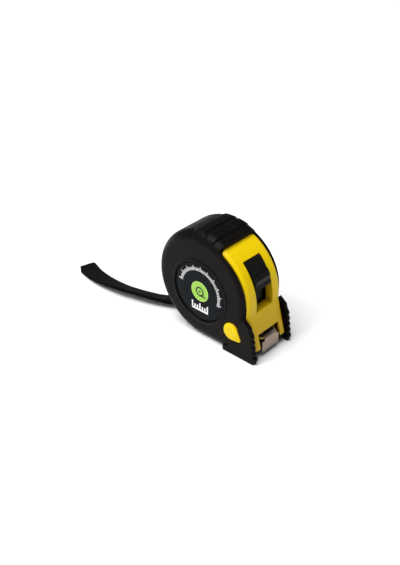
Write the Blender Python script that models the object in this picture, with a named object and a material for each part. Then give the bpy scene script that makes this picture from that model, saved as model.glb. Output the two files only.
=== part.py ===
"""Pocket tape measure with a 16 mm blade, a rubber-jacketed case, a thumb lock and a wrist strap.

Frame, in metres: +X is the way the blade pulls out, +Y is along the reel's axis towards the belt clip,
+Z is up. The origin is on the base plane, straight below the reel's axis.
"""

import math

import bmesh
import bpy
from mathutils import Matrix, Vector

# ---------------------------------------------------------------- clearances
GAP = 0.0003             # between pieces that touch
SLIDE_GAP = 0.0004       # between pieces that slide past each other
REEL_CLEARANCE = 0.0008  # round the spinning reel

# ---------------------------------------------------------------- case
BODY_R = 0.034           # round body, over the rubber
BODY_X = 0.0005
BASE_CUT = 0.0004        # the flat base, up from the round body's lowest point
REEL_DROP = 0.0031       # reel's axis below the height BODY_R
HALF_WIDTH = 0.01615     # middle of the case to its side face
SHOULDER = 0.0059        # rounding from the side face to the rim
PARTING_Y = 0.003        # where the two halves meet
FRONT_OVER = 0.0002      # radius of the curved front, about the reel's axis, beyond BODY_R
KNEE = math.radians(-6.05)           # where the curved front turns into the straight chin
CHIN_LEAN = math.radians(14.9)
CHIN_CORNER = 0.0062     # rounding between the chin and the base
COVER = 0.0018           # rubber, and bezel, over the shell
WALL = 0.0015            # shell

# ---------------------------------------------------------------- blade and reel
BLADE_WIDTH = 0.016
BLADE_T = 0.0003
BLADE_CURL = 0.0010      # rise of the blade's edges once it is off the reel
BLADE_FREE_X = 0.018     # where the blade has its full curl
BLADE_CLIP = 0.0026      # length of the clipped corners at the blade's end
COIL_R = 0.0199
DRUM_R = 0.0144
DRUM_WALL = 0.0012
FLANGE_RIM = 0.0025      # flanges beyond the coil
FLANGE_T = 0.0010
SPINDLE_R = 0.0030
SOCKET_WALL = 0.0018     # round the spindle's ends
SPRING_T = 0.0005
SPRING_TURNS = 4

# ---------------------------------------------------------------- mouth and end hook
MOUTH_SIDE = 0.0008      # mouth beyond the blade's edges
MOUTH_HEIGHT = 0.0042    # mouth's top above the blade
MOUTH_BACK_X = 0.0300
HOOK_AHEAD = 0.0012      # hook's plate in front of the mouth's top edge
HOOK_T = 0.0008
HOOK_SIDE = 0.0007       # blade beyond the hook's edges
HOOK_LOW_Z = 0.0024
HOOK_CORNER = 0.0016
HOOK_SHOULDER = 0.0021   # plate's edges beyond the tab's
HOOK_NECK = 0.0022       # plate's shoulders below the tab's top
HOOK_PLAY = 0.0009
RIVET_R = 0.0010
RIVET_HEAD_R = 0.0017
RIVET_HEAD_T = 0.0005
RIVET_Y = 0.0032
RIVET_BACK = 0.0045      # rivets behind the hook's plate
BUMPER_HEIGHT = 0.0038
GUIDE_BACK_X = 0.0190

# ---------------------------------------------------------------- rubber jackets
WINDOW_TOP = math.radians(66.0)      # top end of the bezel's window
WINDOW_CORNER = 0.0042
WINDOW_DEPTH_FROM = 0.028            # the window's cutter starts this far out from the reel's foot point
WINDOW_SPLIT = 0.003                 # above this, the cutter follows the curve; below it, the chin
RIM_DROP = 0.0008                    # rubber beside the bezel, behind its front
BAND_HEIGHT = 0.0008                 # cross bands over the top
BAND_RAMP = 0.0014
BANDS = ((75.0, 84.5), (89.5, 100.0))  # their two ends, in degrees about the body's centre
FOOT_BACK_X = 0.0175
FOOT_AHEAD = 0.0029                  # foot's front beyond the hook's back
FOOT_OUT = 0.0008                    # foot beyond the side face
FOOT_INNER = 0.0050                  # foot outside the hook's recess
FOOT_SIDE_EDGE = 0.0009
RIB_BASE_Z = 0.0014
RIB_PITCH = 0.0037
RIB_DEPTH = 0.0011
RIB_COUNT = 5
RIB_SHAPE = ((0.0, 0.0), (0.2, 0.75), (0.5, 1.0), (0.8, 0.75))  # share of the pitch, share of the depth
RING_WIDTH = 0.0019
RING_HEIGHT = 0.0005

# ---------------------------------------------------------------- bezel and slot
BEZEL_SIDE = 0.00195     # rubber's side face beyond the bezel's
BEZEL_CORNER = 0.0030
BEZEL_DEPTH = 0.0036     # front face to its side edges
BEZEL_FOOT_Z = 0.0062    # lower end of its legs
SLOT_HALF = 0.0069
SLOT_TOP = math.radians(46.4)
SLOT_BOTTOM = math.radians(-5.8)
COLLAR_WALL = 0.0010
COLLAR_DEPTH = 0.0052    # front face to the inner end of the slot's walls

# ---------------------------------------------------------------- thumb lock
PAD_TOP = math.radians(45.6)
PAD_BOTTOM = math.radians(16.4)
PAD_OUT = 0.0004         # pad beyond the bezel's front
RIDGE_OUT = 0.0019
RIDGE_SIDE = 0.0006
RIDGE_FROM = math.radians(20.0)
RIDGE_TO = math.radians(34.0)
LOCK_TURN = math.radians(20.0)
TONGUE_HALF = 0.0046
TONGUE_T = 0.0010
TONGUE_TOP = math.radians(50.0)

# ---------------------------------------------------------------- stop button
BUTTON_TURN = math.radians(-33.4)    # direction of its round end from the reel's axis
BUTTON_R = 0.0054
BUTTON_OFF_FLANGE = 0.0009           # its round end clear of the reel's flange
BUTTON_LENGTH = 0.0080               # middle of the round end to the tip
BUTTON_LEAN = math.radians(-29.0)
BUTTON_TIP_R = 0.0017
BUTTON_OUT = 0.0013      # crown beyond the side face
BUTTON_CROWN = ((0.0, -0.0022), (0.0003, -0.0010), (0.0008, -0.0002), (0.0012, 0.0))
BUTTON_LIP = 0.0008
BUTTON_LIP_T = 0.0006
PAD_R = 0.0017
PAD_T = 0.0007
PAD_RIM = 0.0004         # pad's middle inside the flange's edge
STOP_SPRING_R = 0.0015
STOP_SPRING_WIRE = 0.0002
STOP_SPRING_TURNS = 2.5
STOP_SPRING_ALONG = 0.0038           # from the round end's middle towards the tip
SEAT_HALF = 0.0021
SEAT_T = 0.0010

# ---------------------------------------------------------------- labels
LABEL_R = 0.01845
LABEL_T = 0.0015

# ---------------------------------------------------------------- screws
BOSS_R = 0.0022
BOSS_ANGLES = (64.0, 150.0, 215.0)
CHIN_BOSS_BACK = 0.0076  # behind the hook's plate
CHIN_BOSS_LIFT = 0.0006  # above the cavity's floor
SCREW_R = 0.0010
SCREW_HEAD_R = 0.0022
SCREW_HEAD_T = 0.0012
CROSS_SLOT = 0.0005
CROSS_DEPTH = 0.0006

# ---------------------------------------------------------------- belt clip
CLIP_WIDTH = 0.0120
CLIP_T = 0.0011
CLIP_GAP = 0.0050        # clear space between the label's ring and the clip
CLIP_FOOT = 0.0080       # height of the part that lies on the case
CLIP_STEP = 0.0056       # height of the step out
CLIP_LOW_Z = 0.0160
CLIP_LIP = 0.0050
CLIP_SCREW_R = 0.0012
CLIP_SCREW_HEAD_R = 0.0026
CLIP_SCREW_HEAD_T = 0.0013

# ---------------------------------------------------------------- wrist strap
STRAP_WIDTH = 0.0115
STRAP_T = 0.0011
PIN_TURN = math.radians(229.6)       # about the body's centre
PIN_DEPTH = 0.00116      # in from the rubber's outside
PIN_R = 0.0010
NOTCH_R = 0.0042
NOTCH_SIDE = 0.0010      # notch beyond the strap's edges
NOTCH_WALL = 0.0012
FERRULE_T = 0.0005
FERRULE_LENGTH = 0.0038
FERRULE_AT = 0.0057      # from the pin to the ferrule's middle
STRAP_SPLIT = 0.0003     # between the strap's two runs
STRAP_LIFT = 0.0002      # under the strap's lowest edge
STRAP_ROUTE = (          # back from the pin, y, height as a share of the pin's, and twist in degrees
    (0.0016, 0.0000, 0.92, 0.0),
    (0.0050, 0.0000, 0.74, 0.0),
    (0.0084, 0.0000, 0.56, 0.0),
    (0.0118, -0.0020, 0.42, 9.0),
    (0.0165, -0.0050, 0.28, 17.0),
    (0.0251, -0.0093, 0.20, 23.0),
    (0.0418, -0.0142, 0.20, 24.0),
    (0.0552, -0.0158, 0.20, 17.5),
    (0.0682, -0.0153, 0.20, 8.5),
    (0.0820, -0.0126, 0.15, 3.0),
)

# ---------------------------------------------------------------- worked out from the values above
SHELL_INSET = COVER + GAP
CAVITY_INSET = SHELL_INSET + WALL
SHELL_HALF = HALF_WIDTH - SHELL_INSET
CAVITY_HALF = HALF_WIDTH - CAVITY_INSET
BODY_Z = BODY_R - BASE_CUT
REEL_Z = BODY_R - REEL_DROP
FRONT_R = BODY_R + FRONT_OVER
BODY = (BODY_X, BODY_Z, BODY_R)
FRONT = (0.0, REEL_Z, FRONT_R)
CHIN_X = FRONT_R * math.cos(KNEE)
CHIN_Z = REEL_Z + FRONT_R * math.sin(KNEE)
BLADE_TOP_Z = REEL_Z - COIL_R - GAP
BLADE_HALF = BLADE_WIDTH / 2
REEL_HALF = BLADE_HALF + SLIDE_GAP
REEL_SIDE = REEL_HALF + FLANGE_T
FLANGE_R = COIL_R + FLANGE_RIM
BOSS_REACH = FLANGE_R + REEL_CLEARANCE + BOSS_R
RECESS_HALF = BLADE_HALF + MOUTH_SIDE
MOUTH_TOP = BLADE_TOP_Z + MOUTH_HEIGHT
HOOK_X = CHIN_X + (CHIN_Z - MOUTH_TOP) * math.tan(CHIN_LEAN) + HOOK_AHEAD
HOOK_HALF = BLADE_HALF - HOOK_SIDE
TAB_HALF = HOOK_HALF - HOOK_SHOULDER
HOOK_LIFT = GAP + 0.0001             # under the hook's tab
RIVET_X = HOOK_X - RIVET_BACK
FOOT_FRONT_X = HOOK_X + FOOT_AHEAD
FOOT_INNER_Y = RECESS_HALF + FOOT_INNER
FOOT_OUTER_Y = HALF_WIDTH + FOOT_OUT
BEZEL_HALF = HALF_WIDTH - BEZEL_SIDE
COLLAR_R = FRONT_R - COLLAR_DEPTH
TONGUE_R = COLLAR_R - SLIDE_GAP
BUTTON_REACH = FLANGE_R + BUTTON_R + BUTTON_OFF_FLANGE
BUTTON_X = BUTTON_REACH * math.cos(BUTTON_TURN)
BUTTON_Z = REEL_Z + BUTTON_REACH * math.sin(BUTTON_TURN)
STOP_PAD_X = (FLANGE_R - PAD_RIM) * math.cos(BUTTON_TURN)
STOP_PAD_Z = REEL_Z + (FLANGE_R - PAD_RIM) * math.sin(BUTTON_TURN)
STOP_SPRING_X = BUTTON_X + STOP_SPRING_ALONG * math.cos(BUTTON_LEAN)
STOP_SPRING_Z = BUTTON_Z + STOP_SPRING_ALONG * math.sin(BUTTON_LEAN)
BUTTON_LIP_Y = -CAVITY_HALF + GAP
BUTTON_BACK_Y = BUTTON_LIP_Y + BUTTON_LIP_T
SEAT_Y = -REEL_HALF
CHIN_BOSS_X = HOOK_X - CHIN_BOSS_BACK
CHIN_BOSS_Z = CAVITY_INSET + BOSS_R + CHIN_BOSS_LIFT
RING_R = LABEL_R + GAP
CLIP_FOOT_Z = REEL_Z + RING_R + RING_WIDTH
CLIP_TOP_Z = CLIP_FOOT_Z + CLIP_FOOT
CLIP_SCREW_Z = CLIP_FOOT_Z + CLIP_FOOT / 2
PIN_X = BODY_X + (BODY_R - PIN_DEPTH) * math.cos(PIN_TURN)
PIN_Z = BODY_Z + (BODY_R - PIN_DEPTH) * math.sin(PIN_TURN)
NOTCH_HALF = STRAP_WIDTH / 2 + NOTCH_SIDE
FAR = BODY_R + FRONT_R + HALF_WIDTH  # cutters reach this far past the case
ROUND_STEPS = 22
REAR_STEPS = 18


# ================================================================ helpers
def material(name, color, roughness, metallic=0.0):
    made = bpy.data.materials.get(name) or bpy.data.materials.new(name)
    made.use_nodes = True
    shader = made.node_tree.nodes["Principled BSDF"]
    shader.inputs["Base Color"].default_value = (*color, 1.0)
    shader.inputs["Roughness"].default_value = roughness
    shader.inputs["Metallic"].default_value = metallic
    made.diffuse_color = (*color, 1.0)
    return made


def rubber():
    return material("black_rubber", (0.022, 0.020, 0.019), 0.55)


def yellow():
    return material("yellow_plastic", (0.80, 0.60, 0.01), 0.35)


def black_plastic():
    return material("black_plastic", (0.012, 0.012, 0.013), 0.40)


def print_film():
    return material("label_film", (0.012, 0.014, 0.018), 0.30)


def steel():
    return material("steel", (0.60, 0.56, 0.52), 0.30, 1.0)


def blade_paint():
    return material("blade_paint", (0.80, 0.62, 0.04), 0.40)


def webbing():
    return material("webbing", (0.015, 0.015, 0.015), 0.85)


def nylon():
    return material("nylon", (0.55, 0.55, 0.52), 0.50)


def finish(name, mesh_maker, surface, sharp=35.0):
    """A new object from a bmesh, with outward normals, smooth shading and its material."""
    mesh_maker.verts.ensure_lookup_table()
    bmesh.ops.recalc_face_normals(mesh_maker, faces=mesh_maker.faces)
    mesh = bpy.data.meshes.new(name)
    mesh_maker.to_mesh(mesh)
    mesh_maker.free()
    mesh.shade_smooth()
    mesh.set_sharp_from_angle(angle=math.radians(sharp))
    made = bpy.data.objects.new(name, mesh)
    bpy.context.scene.collection.objects.link(made)
    if surface is not None:
        mesh.materials.append(surface)
    return made


def cutter(name, mesh_maker):
    made = finish(name, mesh_maker, None)
    made.hide_render = True
    made.display_type = "WIRE"
    return made


def boolean(target, other, operation="DIFFERENCE"):
    step = target.modifiers.new(operation.title() + " " + other.name, "BOOLEAN")
    step.operation = operation
    step.object = other
    step.solver = "EXACT"
    return target


def add_tool(target, mesh_maker, operation="DIFFERENCE"):
    """Cuts, joins or intersects target with a shape that is used once."""
    tool = cutter(f"{target.name}_tool_{len(target.modifiers)}", mesh_maker)
    return boolean(target, tool, operation)


def loft(sections, closed=False):
    """Skins a list of rings with the same number of points. The ends are filled unless the loft closes."""
    shape = bmesh.new()
    rings = [[shape.verts.new(point) for point in ring] for ring in sections]
    count = len(rings[0])
    pairs = list(zip(rings, rings[1:]))
    if closed:
        pairs.append((rings[-1], rings[0]))
    for near, far in pairs:
        for i in range(count):
            j = (i + 1) % count
            shape.faces.new((near[i], near[j], far[j], far[i]))
    if not closed:
        shape.faces.new(list(reversed(rings[0])))
        shape.faces.new(rings[-1])
    return shape


def slab(outline, low_y, high_y):
    """A prism along Y with an (x, z) outline."""
    return loft([[(x, y, z) for x, z in outline] for y in (low_y, high_y)])


def box(low, high):
    outline = ((low[0], low[2]), (high[0], low[2]), (high[0], high[2]), (low[0], high[2]))
    return slab(outline, low[1], high[1])


def arc(center_x, center_z, radius, start, end, steps):
    """Points on an arc in the XZ plane, both ends included."""
    points = []
    for i in range(steps + 1):
        turn = start + (end - start) * i / steps
        points.append((center_x + radius * math.cos(turn), center_z + radius * math.sin(turn)))
    return points


def circle(center_x, center_z, radius, steps=32):
    return arc(center_x, center_z, radius, 0.0, 2 * math.pi, steps)[:-1]


def disc(center_x, center_z, radius, low_y, high_y, steps=32):
    return slab(circle(center_x, center_z, radius, steps), low_y, high_y)


def turned(profile, center_x, center_z, steps=48):
    """A ring about an axis along Y. The profile is a closed loop of (radius, y)."""
    sections = []
    for i in range(steps):
        turn = 2 * math.pi * i / steps
        across, up = math.cos(turn), math.sin(turn)
        sections.append([(center_x + r * across, y, center_z + r * up) for r, y in profile])
    return loft(sections, closed=True)


def polar(radius, turn):
    return radius * math.cos(turn), REEL_Z + radius * math.sin(turn)


def sector(inner_r, outer_r, start, end, steps=12):
    """Outline of a ring sector about the reel's axis."""
    outside = [polar(outer_r, start + (end - start) * i / steps) for i in range(steps + 1)]
    inside = [polar(inner_r, end + (start - end) * i / steps) for i in range(steps + 1)]
    return outside + inside


# ================================================================ the case's side view
def chin_line(inset):
    """A point on the chin's line moved inwards, and the line's direction upwards."""
    up = Vector((-math.sin(CHIN_LEAN), math.cos(CHIN_LEAN)))
    inwards = Vector((-math.cos(CHIN_LEAN), -math.sin(CHIN_LEAN)))
    return Vector((CHIN_X, CHIN_Z)) + inwards * inset, up


def knee_turn(circle_of, inset):
    """Angle about the circle's centre where it meets the chin's line."""
    point, up = chin_line(inset)
    center = Vector(circle_of[:2])
    radius = circle_of[2] - inset
    offset = point - center
    along = offset.dot(up)
    beside = offset.length_squared - along * along
    reach = math.sqrt(max(radius * radius - beside, 0.0))
    hits = [offset + up * (-along + side * reach) for side in (-1, 1)]
    lowest = min(hits, key=lambda hit: abs(math.atan2(hit.y, hit.x) + 0.1))
    return math.atan2(lowest.y, lowest.x)


def meeting_turns(inset):
    """Angles, about the front's and the body's centres, where the two circles cross behind the top."""
    front, body = Vector(FRONT[:2]), Vector(BODY[:2])
    r_front, r_body = FRONT_R - inset, BODY_R - inset
    apart = body - front
    d = apart.length
    along = (r_front ** 2 - r_body ** 2 + d * d) / (2 * d)
    side = math.sqrt(max(r_front ** 2 - along ** 2, 0.0))
    ahead = apart.normalized()
    crossing = front + ahead * along + Vector((-ahead.y, ahead.x)) * side
    about_front = crossing - front
    about_body = crossing - body
    return math.atan2(about_front.y, about_front.x), math.atan2(about_body.y, about_body.x)


def outline(inset, nose):
    """Side view of the case moved inwards by inset, anticlockwise from the chin's top.

    nose is the circle that the front and top follow: FRONT under the bezel, BODY over the rubber.
    """
    body_r = BODY_R - inset
    if nose is BODY:
        turn_nose = turn_body = math.radians(150.0)
    else:
        turn_nose, turn_body = meeting_turns(inset)
    points = arc(nose[0], nose[1], nose[2] - inset, knee_turn(nose, inset), turn_nose, ROUND_STEPS)
    base_drop = math.asin(min((BODY_Z - inset) / body_r, 1.0))
    points += arc(BODY_X, BODY_Z, body_r, turn_body, math.pi + base_drop, REAR_STEPS)[1:]
    corner = max(CHIN_CORNER - inset, 0.0002)
    point, up = chin_line(inset + corner)
    center_z = inset + corner
    center_x = point.x + up.x * (center_z - point.y) / up.y
    start_x = points[-1][0]
    points += [(start_x + (center_x - start_x) * i / 4, inset) for i in range(1, 4)]
    points += arc(center_x, center_z, corner, -math.pi / 2, CHIN_LEAN, 5)
    top_x, top_z = points[0]
    last_x, last_z = points[-1]
    points += [(last_x + (top_x - last_x) * i / 4, last_z + (top_z - last_z) * i / 4) for i in range(1, 4)]
    return points


def case_solid(inset, nose, side, end_y, steps=4):
    """Half of the case's rounded form, on one side (-1 or 1), closed by a plane at end_y."""
    half = HALF_WIDTH - inset
    rounding = max(SHOULDER - inset, 0.0004)
    sections = [(end_y, inset), (side * (half - rounding), inset)]
    for i in range(1, steps + 1):
        turn = math.pi / 2 * i / steps
        y = half - rounding * (1 - math.sin(turn))
        sections.append((side * y, inset + rounding * (1 - math.cos(turn))))
    return loft([[(x, y, z) for x, z in outline(step, nose)] for y, step in sections])


def bosses():
    spots = [polar(BOSS_REACH, math.radians(turn)) for turn in BOSS_ANGLES]
    return spots + [(CHIN_BOSS_X, CHIN_BOSS_Z)]


def face_y(side, depth):
    """A distance in from the side face, as a Y position on that side."""
    return side * (HALF_WIDTH - depth)


def parting(side, clearance=GAP / 2):
    return PARTING_Y + side * clearance


# ================================================================ shells and jackets
def slot_outline(grow, inner_r, outer_r):
    turn = grow / FRONT_R
    return sector(inner_r, outer_r, SLOT_BOTTOM - turn, SLOT_TOP + turn)


def teardrop(grow, steps=18):
    """Side view of the stop button, grown outwards."""
    round_r = BUTTON_R + grow
    tip_r = max(BUTTON_TIP_R + grow, GAP)
    apart = BUTTON_LENGTH - BUTTON_TIP_R
    spread = math.acos((round_r - tip_r) / apart)
    tip_x = BUTTON_X + apart * math.cos(BUTTON_LEAN)
    tip_z = BUTTON_Z + apart * math.sin(BUTTON_LEAN)
    round_end = (BUTTON_LEAN + spread, BUTTON_LEAN + 2 * math.pi - spread)
    points = arc(BUTTON_X, BUTTON_Z, round_r, *round_end, steps)
    return points + arc(tip_x, tip_z, tip_r, BUTTON_LEAN - spread, BUTTON_LEAN + spread, 6)


def make_shell(name, side):
    shell = finish(name, case_solid(SHELL_INSET, FRONT, side, parting(side)), black_plastic())
    add_tool(shell, case_solid(CAVITY_INSET, FRONT, side, -side * FAR))
    wall_y = side * (CAVITY_HALF + WALL / 2)
    for x, z in bosses():
        add_tool(shell, disc(x, z, BOSS_R, *sorted((parting(side), wall_y)), steps=16), "UNION")
    socket = sorted((side * (REEL_SIDE + SLIDE_GAP), wall_y))
    add_tool(shell, disc(0.0, REEL_Z, SPINDLE_R + SOCKET_WALL, *socket, steps=24), "UNION")
    reach = sorted((parting(side), side * (NOTCH_HALF + NOTCH_WALL)))
    add_tool(shell, disc(PIN_X, PIN_Z, NOTCH_R + NOTCH_WALL, *reach, steps=24), "UNION")
    add_tool(shell, outside_of_case(SHELL_INSET))
    add_tool(shell, disc(PIN_X, PIN_Z, NOTCH_R, -NOTCH_HALF, NOTCH_HALF, steps=24))
    pin_reach = NOTCH_HALF + NOTCH_WALL + GAP
    add_tool(shell, disc(PIN_X, PIN_Z, PIN_R + GAP, -pin_reach, pin_reach, steps=16))
    add_tool(shell, disc(0.0, REEL_Z, SPINDLE_R + GAP, -CAVITY_HALF - GAP, CAVITY_HALF + GAP, steps=24))
    slot_half = SLOT_HALF + COLLAR_WALL + GAP
    slot = slot_outline(COLLAR_WALL + GAP, COLLAR_R - COVER, FRONT_R + COVER)
    add_tool(shell, slab(slot, -slot_half, slot_half))
    add_tool(shell, mouth_box())
    add_tool(shell, box((HOOK_X - GAP, -RECESS_HALF, 0.0), (FAR, RECESS_HALF, MOUTH_TOP - GAP)))
    for x, z in bosses():
        tip_y = -CAVITY_HALF + SCREW_R
        add_tool(shell, disc(x, z, SCREW_R + GAP, tip_y - GAP, SHELL_HALF + FAR, steps=12))
    return shell


def outside_of_case(inset):
    """Everything below and behind the case near the strap notch, to trim the notch's wall flush."""
    rear = outline(inset, BODY)
    reach = [(x, z) for x, z in rear if x < BODY_R / 6 and z < BODY_Z]
    far = [(x + (x - BODY_X) / 2, z + (z - BODY_Z) / 2) for x, z in reversed(reach)]
    half = NOTCH_HALF + 2 * NOTCH_WALL
    return slab(reach + far, -half, half)


def mouth_box():
    """The mouth and the hook's recess through the bezel and the front wall."""
    floor_z = BLADE_TOP_Z - BLADE_T - COVER / 2
    return box((MOUTH_BACK_X, -RECESS_HALF, floor_z), (FAR, RECESS_HALF, MOUTH_TOP))


def make_right_shell():
    shell = make_shell("right_shell", -1)
    add_tool(shell, slab(teardrop(GAP), -SHELL_HALF - WALL, -CAVITY_HALF + WALL))
    low = (STOP_SPRING_X - SEAT_HALF, SEAT_Y - SEAT_T, CAVITY_INSET - WALL / 2)
    high = (STOP_SPRING_X + SEAT_HALF, SEAT_Y, STOP_SPRING_Z + SEAT_HALF)
    return add_tool(shell, box(low, high), "UNION")


def make_left_shell():
    shell = make_shell("left_shell", 1)
    reach = REEL_SIDE + SLIDE_GAP
    clip_boss = disc(0.0, CLIP_SCREW_Z, CLIP_SCREW_R + WALL, reach, CAVITY_HALF + WALL / 2, steps=16)
    add_tool(shell, clip_boss, "UNION")
    return add_tool(shell, disc(0.0, CLIP_SCREW_Z, CLIP_SCREW_R + GAP, reach - GAP, FAR, steps=12))


def band(side, start, end):
    """A raised cross band over the top, from the parting plane down over the shoulder."""
    half = HALF_WIDTH
    sections = [(parting(side), -BAND_HEIGHT), (side * (half - SHOULDER), -BAND_HEIGHT)]
    for i in range(1, 6):
        turn = math.pi / 2 * i / 5
        rise = BAND_HEIGHT * math.cos(turn)
        y = half - SHOULDER * (1 - math.sin(turn))
        sections.append((side * y, SHOULDER * (1 - math.cos(turn)) - rise))
    rings = []
    for y, inset in sections:
        ring = arc(BODY_X, BODY_Z, BODY_R - inset, math.radians(start), math.radians(end), 4)
        low_r = BODY_R - inset - 2 * BAND_HEIGHT
        ramp = BAND_RAMP / BODY_R
        ring += arc(BODY_X, BODY_Z, low_r, math.radians(end) + 2 * ramp, math.radians(start) - ramp, 4)
        rings.append([(x, y, z) for x, z in ring])
    return loft(rings)


def foot_outline(inset):
    """Side view of a foot: flat underneath, ribbed at the front, sloping up to the jacket's front edge."""
    front = FOOT_FRONT_X + SLIDE_GAP - RIB_DEPTH
    points = [(FOOT_BACK_X + inset, 0.0), (front - inset, 0.0)]
    for i in range(RIB_COUNT):
        for share, bump in RIB_SHAPE:
            rise = (i + share) * RIB_PITCH
            lean = rise * math.tan(CHIN_LEAN) / 2
            points.append((front + RIB_DEPTH * bump - lean - inset, RIB_BASE_Z + rise))
    top_z = RIB_BASE_Z + RIB_COUNT * RIB_PITCH
    points.append((HOOK_X - 0.0005 - inset, top_z + 0.0008))
    points.append((HOOK_X - 0.0010 - inset, top_z + 0.0034))
    points.append((CHIN_X - 0.0015 - inset / 2, CHIN_Z - 0.0004))
    points.append((CHIN_X - 0.0045, top_z + 0.0010))
    points.append((CHIN_X - 0.0078, RIB_BASE_Z + 2 * RIB_PITCH))
    points.append((FOOT_BACK_X + RIB_PITCH + inset / 2, 0.0040))
    points.append((FOOT_BACK_X + inset, 0.0032))
    return points


def foot(side):
    edge = FOOT_SIDE_EDGE
    sections = [(FOOT_INNER_Y, 0.0), (FOOT_OUTER_Y - edge, 0.0), (FOOT_OUTER_Y - edge / 3, edge / 3),
                (FOOT_OUTER_Y, edge)]
    return loft([[(x, side * y, z) for x, z in foot_outline(inset)] for y, inset in sections])


def window_prism(grow, low):
    """The bezel's field as a prism: a rectangle with rounded top corners, seen from 30 degrees above."""
    tilt = math.radians(30.0)
    out = Vector((math.cos(tilt), 0.0, math.sin(tilt)))
    up = Vector((-math.sin(tilt), 0.0, math.cos(tilt)))
    top_x, top_z = polar(FRONT_R, WINDOW_TOP)
    top = up.x * top_x + up.z * top_z + grow
    half = BEZEL_HALF + grow
    corner = WINDOW_CORNER + grow
    field = [(half, low), (half, top - corner)]
    field += arc(half - corner, top - corner, corner, 0.0, math.pi / 2, 5)[1:]
    field += [(-y, s) for y, s in reversed(field)]
    axis_y = Vector((0.0, 1.0, 0.0))
    rings = []
    for reach in (WINDOW_DEPTH_FROM, 2 * FAR):
        rings.append([axis_y * y + up * s + out * reach for y, s in field])
    return loft(rings)


def make_grip(name, side):
    grip = finish(name, case_solid(0.0, BODY, side, parting(side)), rubber())
    for start, end in BANDS:
        add_tool(grip, band(side, start, end), "UNION")
    add_tool(grip, foot(side), "UNION")
    sunk, proud = face_y(side, SLIDE_GAP * 2), face_y(side, -RING_HEIGHT)
    edge = face_y(side, -RING_HEIGHT / 2)
    ring = [(RING_R - GAP, sunk), (RING_R + RING_WIDTH, sunk), (RING_R + RING_WIDTH * 0.7, proud),
            (RING_R + RING_WIDTH * 0.3, proud), (RING_R - GAP, edge)]
    add_tool(grip, turned(ring, 0.0, REEL_Z, 48), "UNION")
    add_tool(grip, case_solid(COVER, FRONT, side, -side * FAR))
    add_tool(grip, disc(0.0, REEL_Z, RING_R, *sorted((0.0, side * FAR)), steps=56))
    add_tool(grip, window_prism(GAP, WINDOW_SPLIT))
    half = BEZEL_HALF + GAP
    back_x = CHIN_X - BEZEL_DEPTH - COVER
    add_tool(grip, box((back_x, -half, BEZEL_FOOT_Z - GAP), (FAR, half, CHIN_Z + COVER)))
    rim_r = FRONT_R - RIM_DROP
    knee = knee_turn(FRONT, 0.0)
    rim = [polar(rim_r, knee + (WINDOW_TOP - knee) * i / 12) for i in range(13)]
    rim += [polar(FAR, WINDOW_TOP), polar(FAR, knee)]
    add_tool(grip, slab(rim, -FAR, FAR))
    recess = RECESS_HALF + GAP
    add_tool(grip, box((MOUTH_BACK_X - GAP, -recess, -COVER), (FAR, recess, CHIN_Z)))
    notch = NOTCH_HALF + NOTCH_WALL + GAP
    add_tool(grip, disc(PIN_X, PIN_Z, NOTCH_R + NOTCH_WALL + GAP, -notch, notch, steps=24))
    return grip


def make_right_grip():
    grip = make_grip("right_grip", -1)
    add_tool(grip, slab(teardrop(GAP), -FAR, -CAVITY_HALF))
    return grip


def make_left_grip():
    grip = make_grip("left_grip", 1)
    for x, z in bosses():
        add_tool(grip, disc(x, z, SCREW_HEAD_R + GAP, 0.0, FAR, steps=20))
    clip = disc(0.0, CLIP_SCREW_Z, CLIP_SCREW_R + GAP, 0.0, FAR, steps=16)
    add_tool(grip, clip)
    return grip


# ================================================================ bezel
def bezel_solid():
    half, corner = BEZEL_HALF, BEZEL_CORNER
    sections = []
    for side in (-1, 1):
        row = []
        for i in range(6):
            turn = math.pi / 2 * i / 5
            row.append((side * (half - corner * (1 - math.sin(turn))), corner * (1 - math.cos(turn))))
        sections += list(reversed(row)) if side < 0 else row
    return loft([[(x, y, z) for x, z in outline(inset, FRONT)] for y, inset in sections])


def make_bezel():
    bezel = finish("front_bezel", bezel_solid(), yellow())
    add_tool(bezel, case_solid(COVER, FRONT, -1, FAR))
    mirrored = case_solid(COVER, FRONT, 1, -FAR)
    add_tool(bezel, mirrored)
    add_tool(bezel, window_prism(0.0, -FAR), "INTERSECT")
    knee = knee_turn(FRONT, 0.0)
    edge_r = FRONT_R - BEZEL_DEPTH
    keep = [polar(edge_r, knee + (WINDOW_TOP + 0.05 - knee) * i / 14) for i in range(15)]
    keep += [polar(FAR, WINDOW_TOP), (FAR, BEZEL_FOOT_Z)]
    low, up = chin_line(BEZEL_DEPTH)
    keep.append((low.x + up.x * (BEZEL_FOOT_Z - low.y) / up.y, BEZEL_FOOT_Z))
    add_tool(bezel, slab(keep, -FAR, FAR), "INTERSECT")
    collar = slab(slot_outline(COLLAR_WALL, COLLAR_R, FRONT_R - COVER / 2), -SLOT_HALF - COLLAR_WALL,
                  SLOT_HALF + COLLAR_WALL)
    add_tool(bezel, collar, "UNION")
    add_tool(bezel, slab(slot_outline(0.0, COLLAR_R - COVER, FRONT_R + COVER), -SLOT_HALF, SLOT_HALF))
    add_tool(bezel, box((MOUTH_BACK_X, -RECESS_HALF, 0.0), (FAR, RECESS_HALF, MOUTH_TOP)))
    return bezel


# ================================================================ reel
def make_drum():
    """Spring drum with the left flange in one piece, open towards the cover."""
    flange_in, flange_out = REEL_HALF, REEL_SIDE
    open_y = -REEL_HALF + GAP
    bore = SPINDLE_R + SLIDE_GAP
    inner_r = DRUM_R - DRUM_WALL
    profile = [(bore, flange_out), (FLANGE_R, flange_out), (FLANGE_R, flange_in), (DRUM_R, flange_in),
               (DRUM_R, open_y), (inner_r, open_y), (inner_r, flange_in), (bore, flange_in)]
    return finish("reel_drum", turned(profile, 0.0, REEL_Z), black_plastic())


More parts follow.
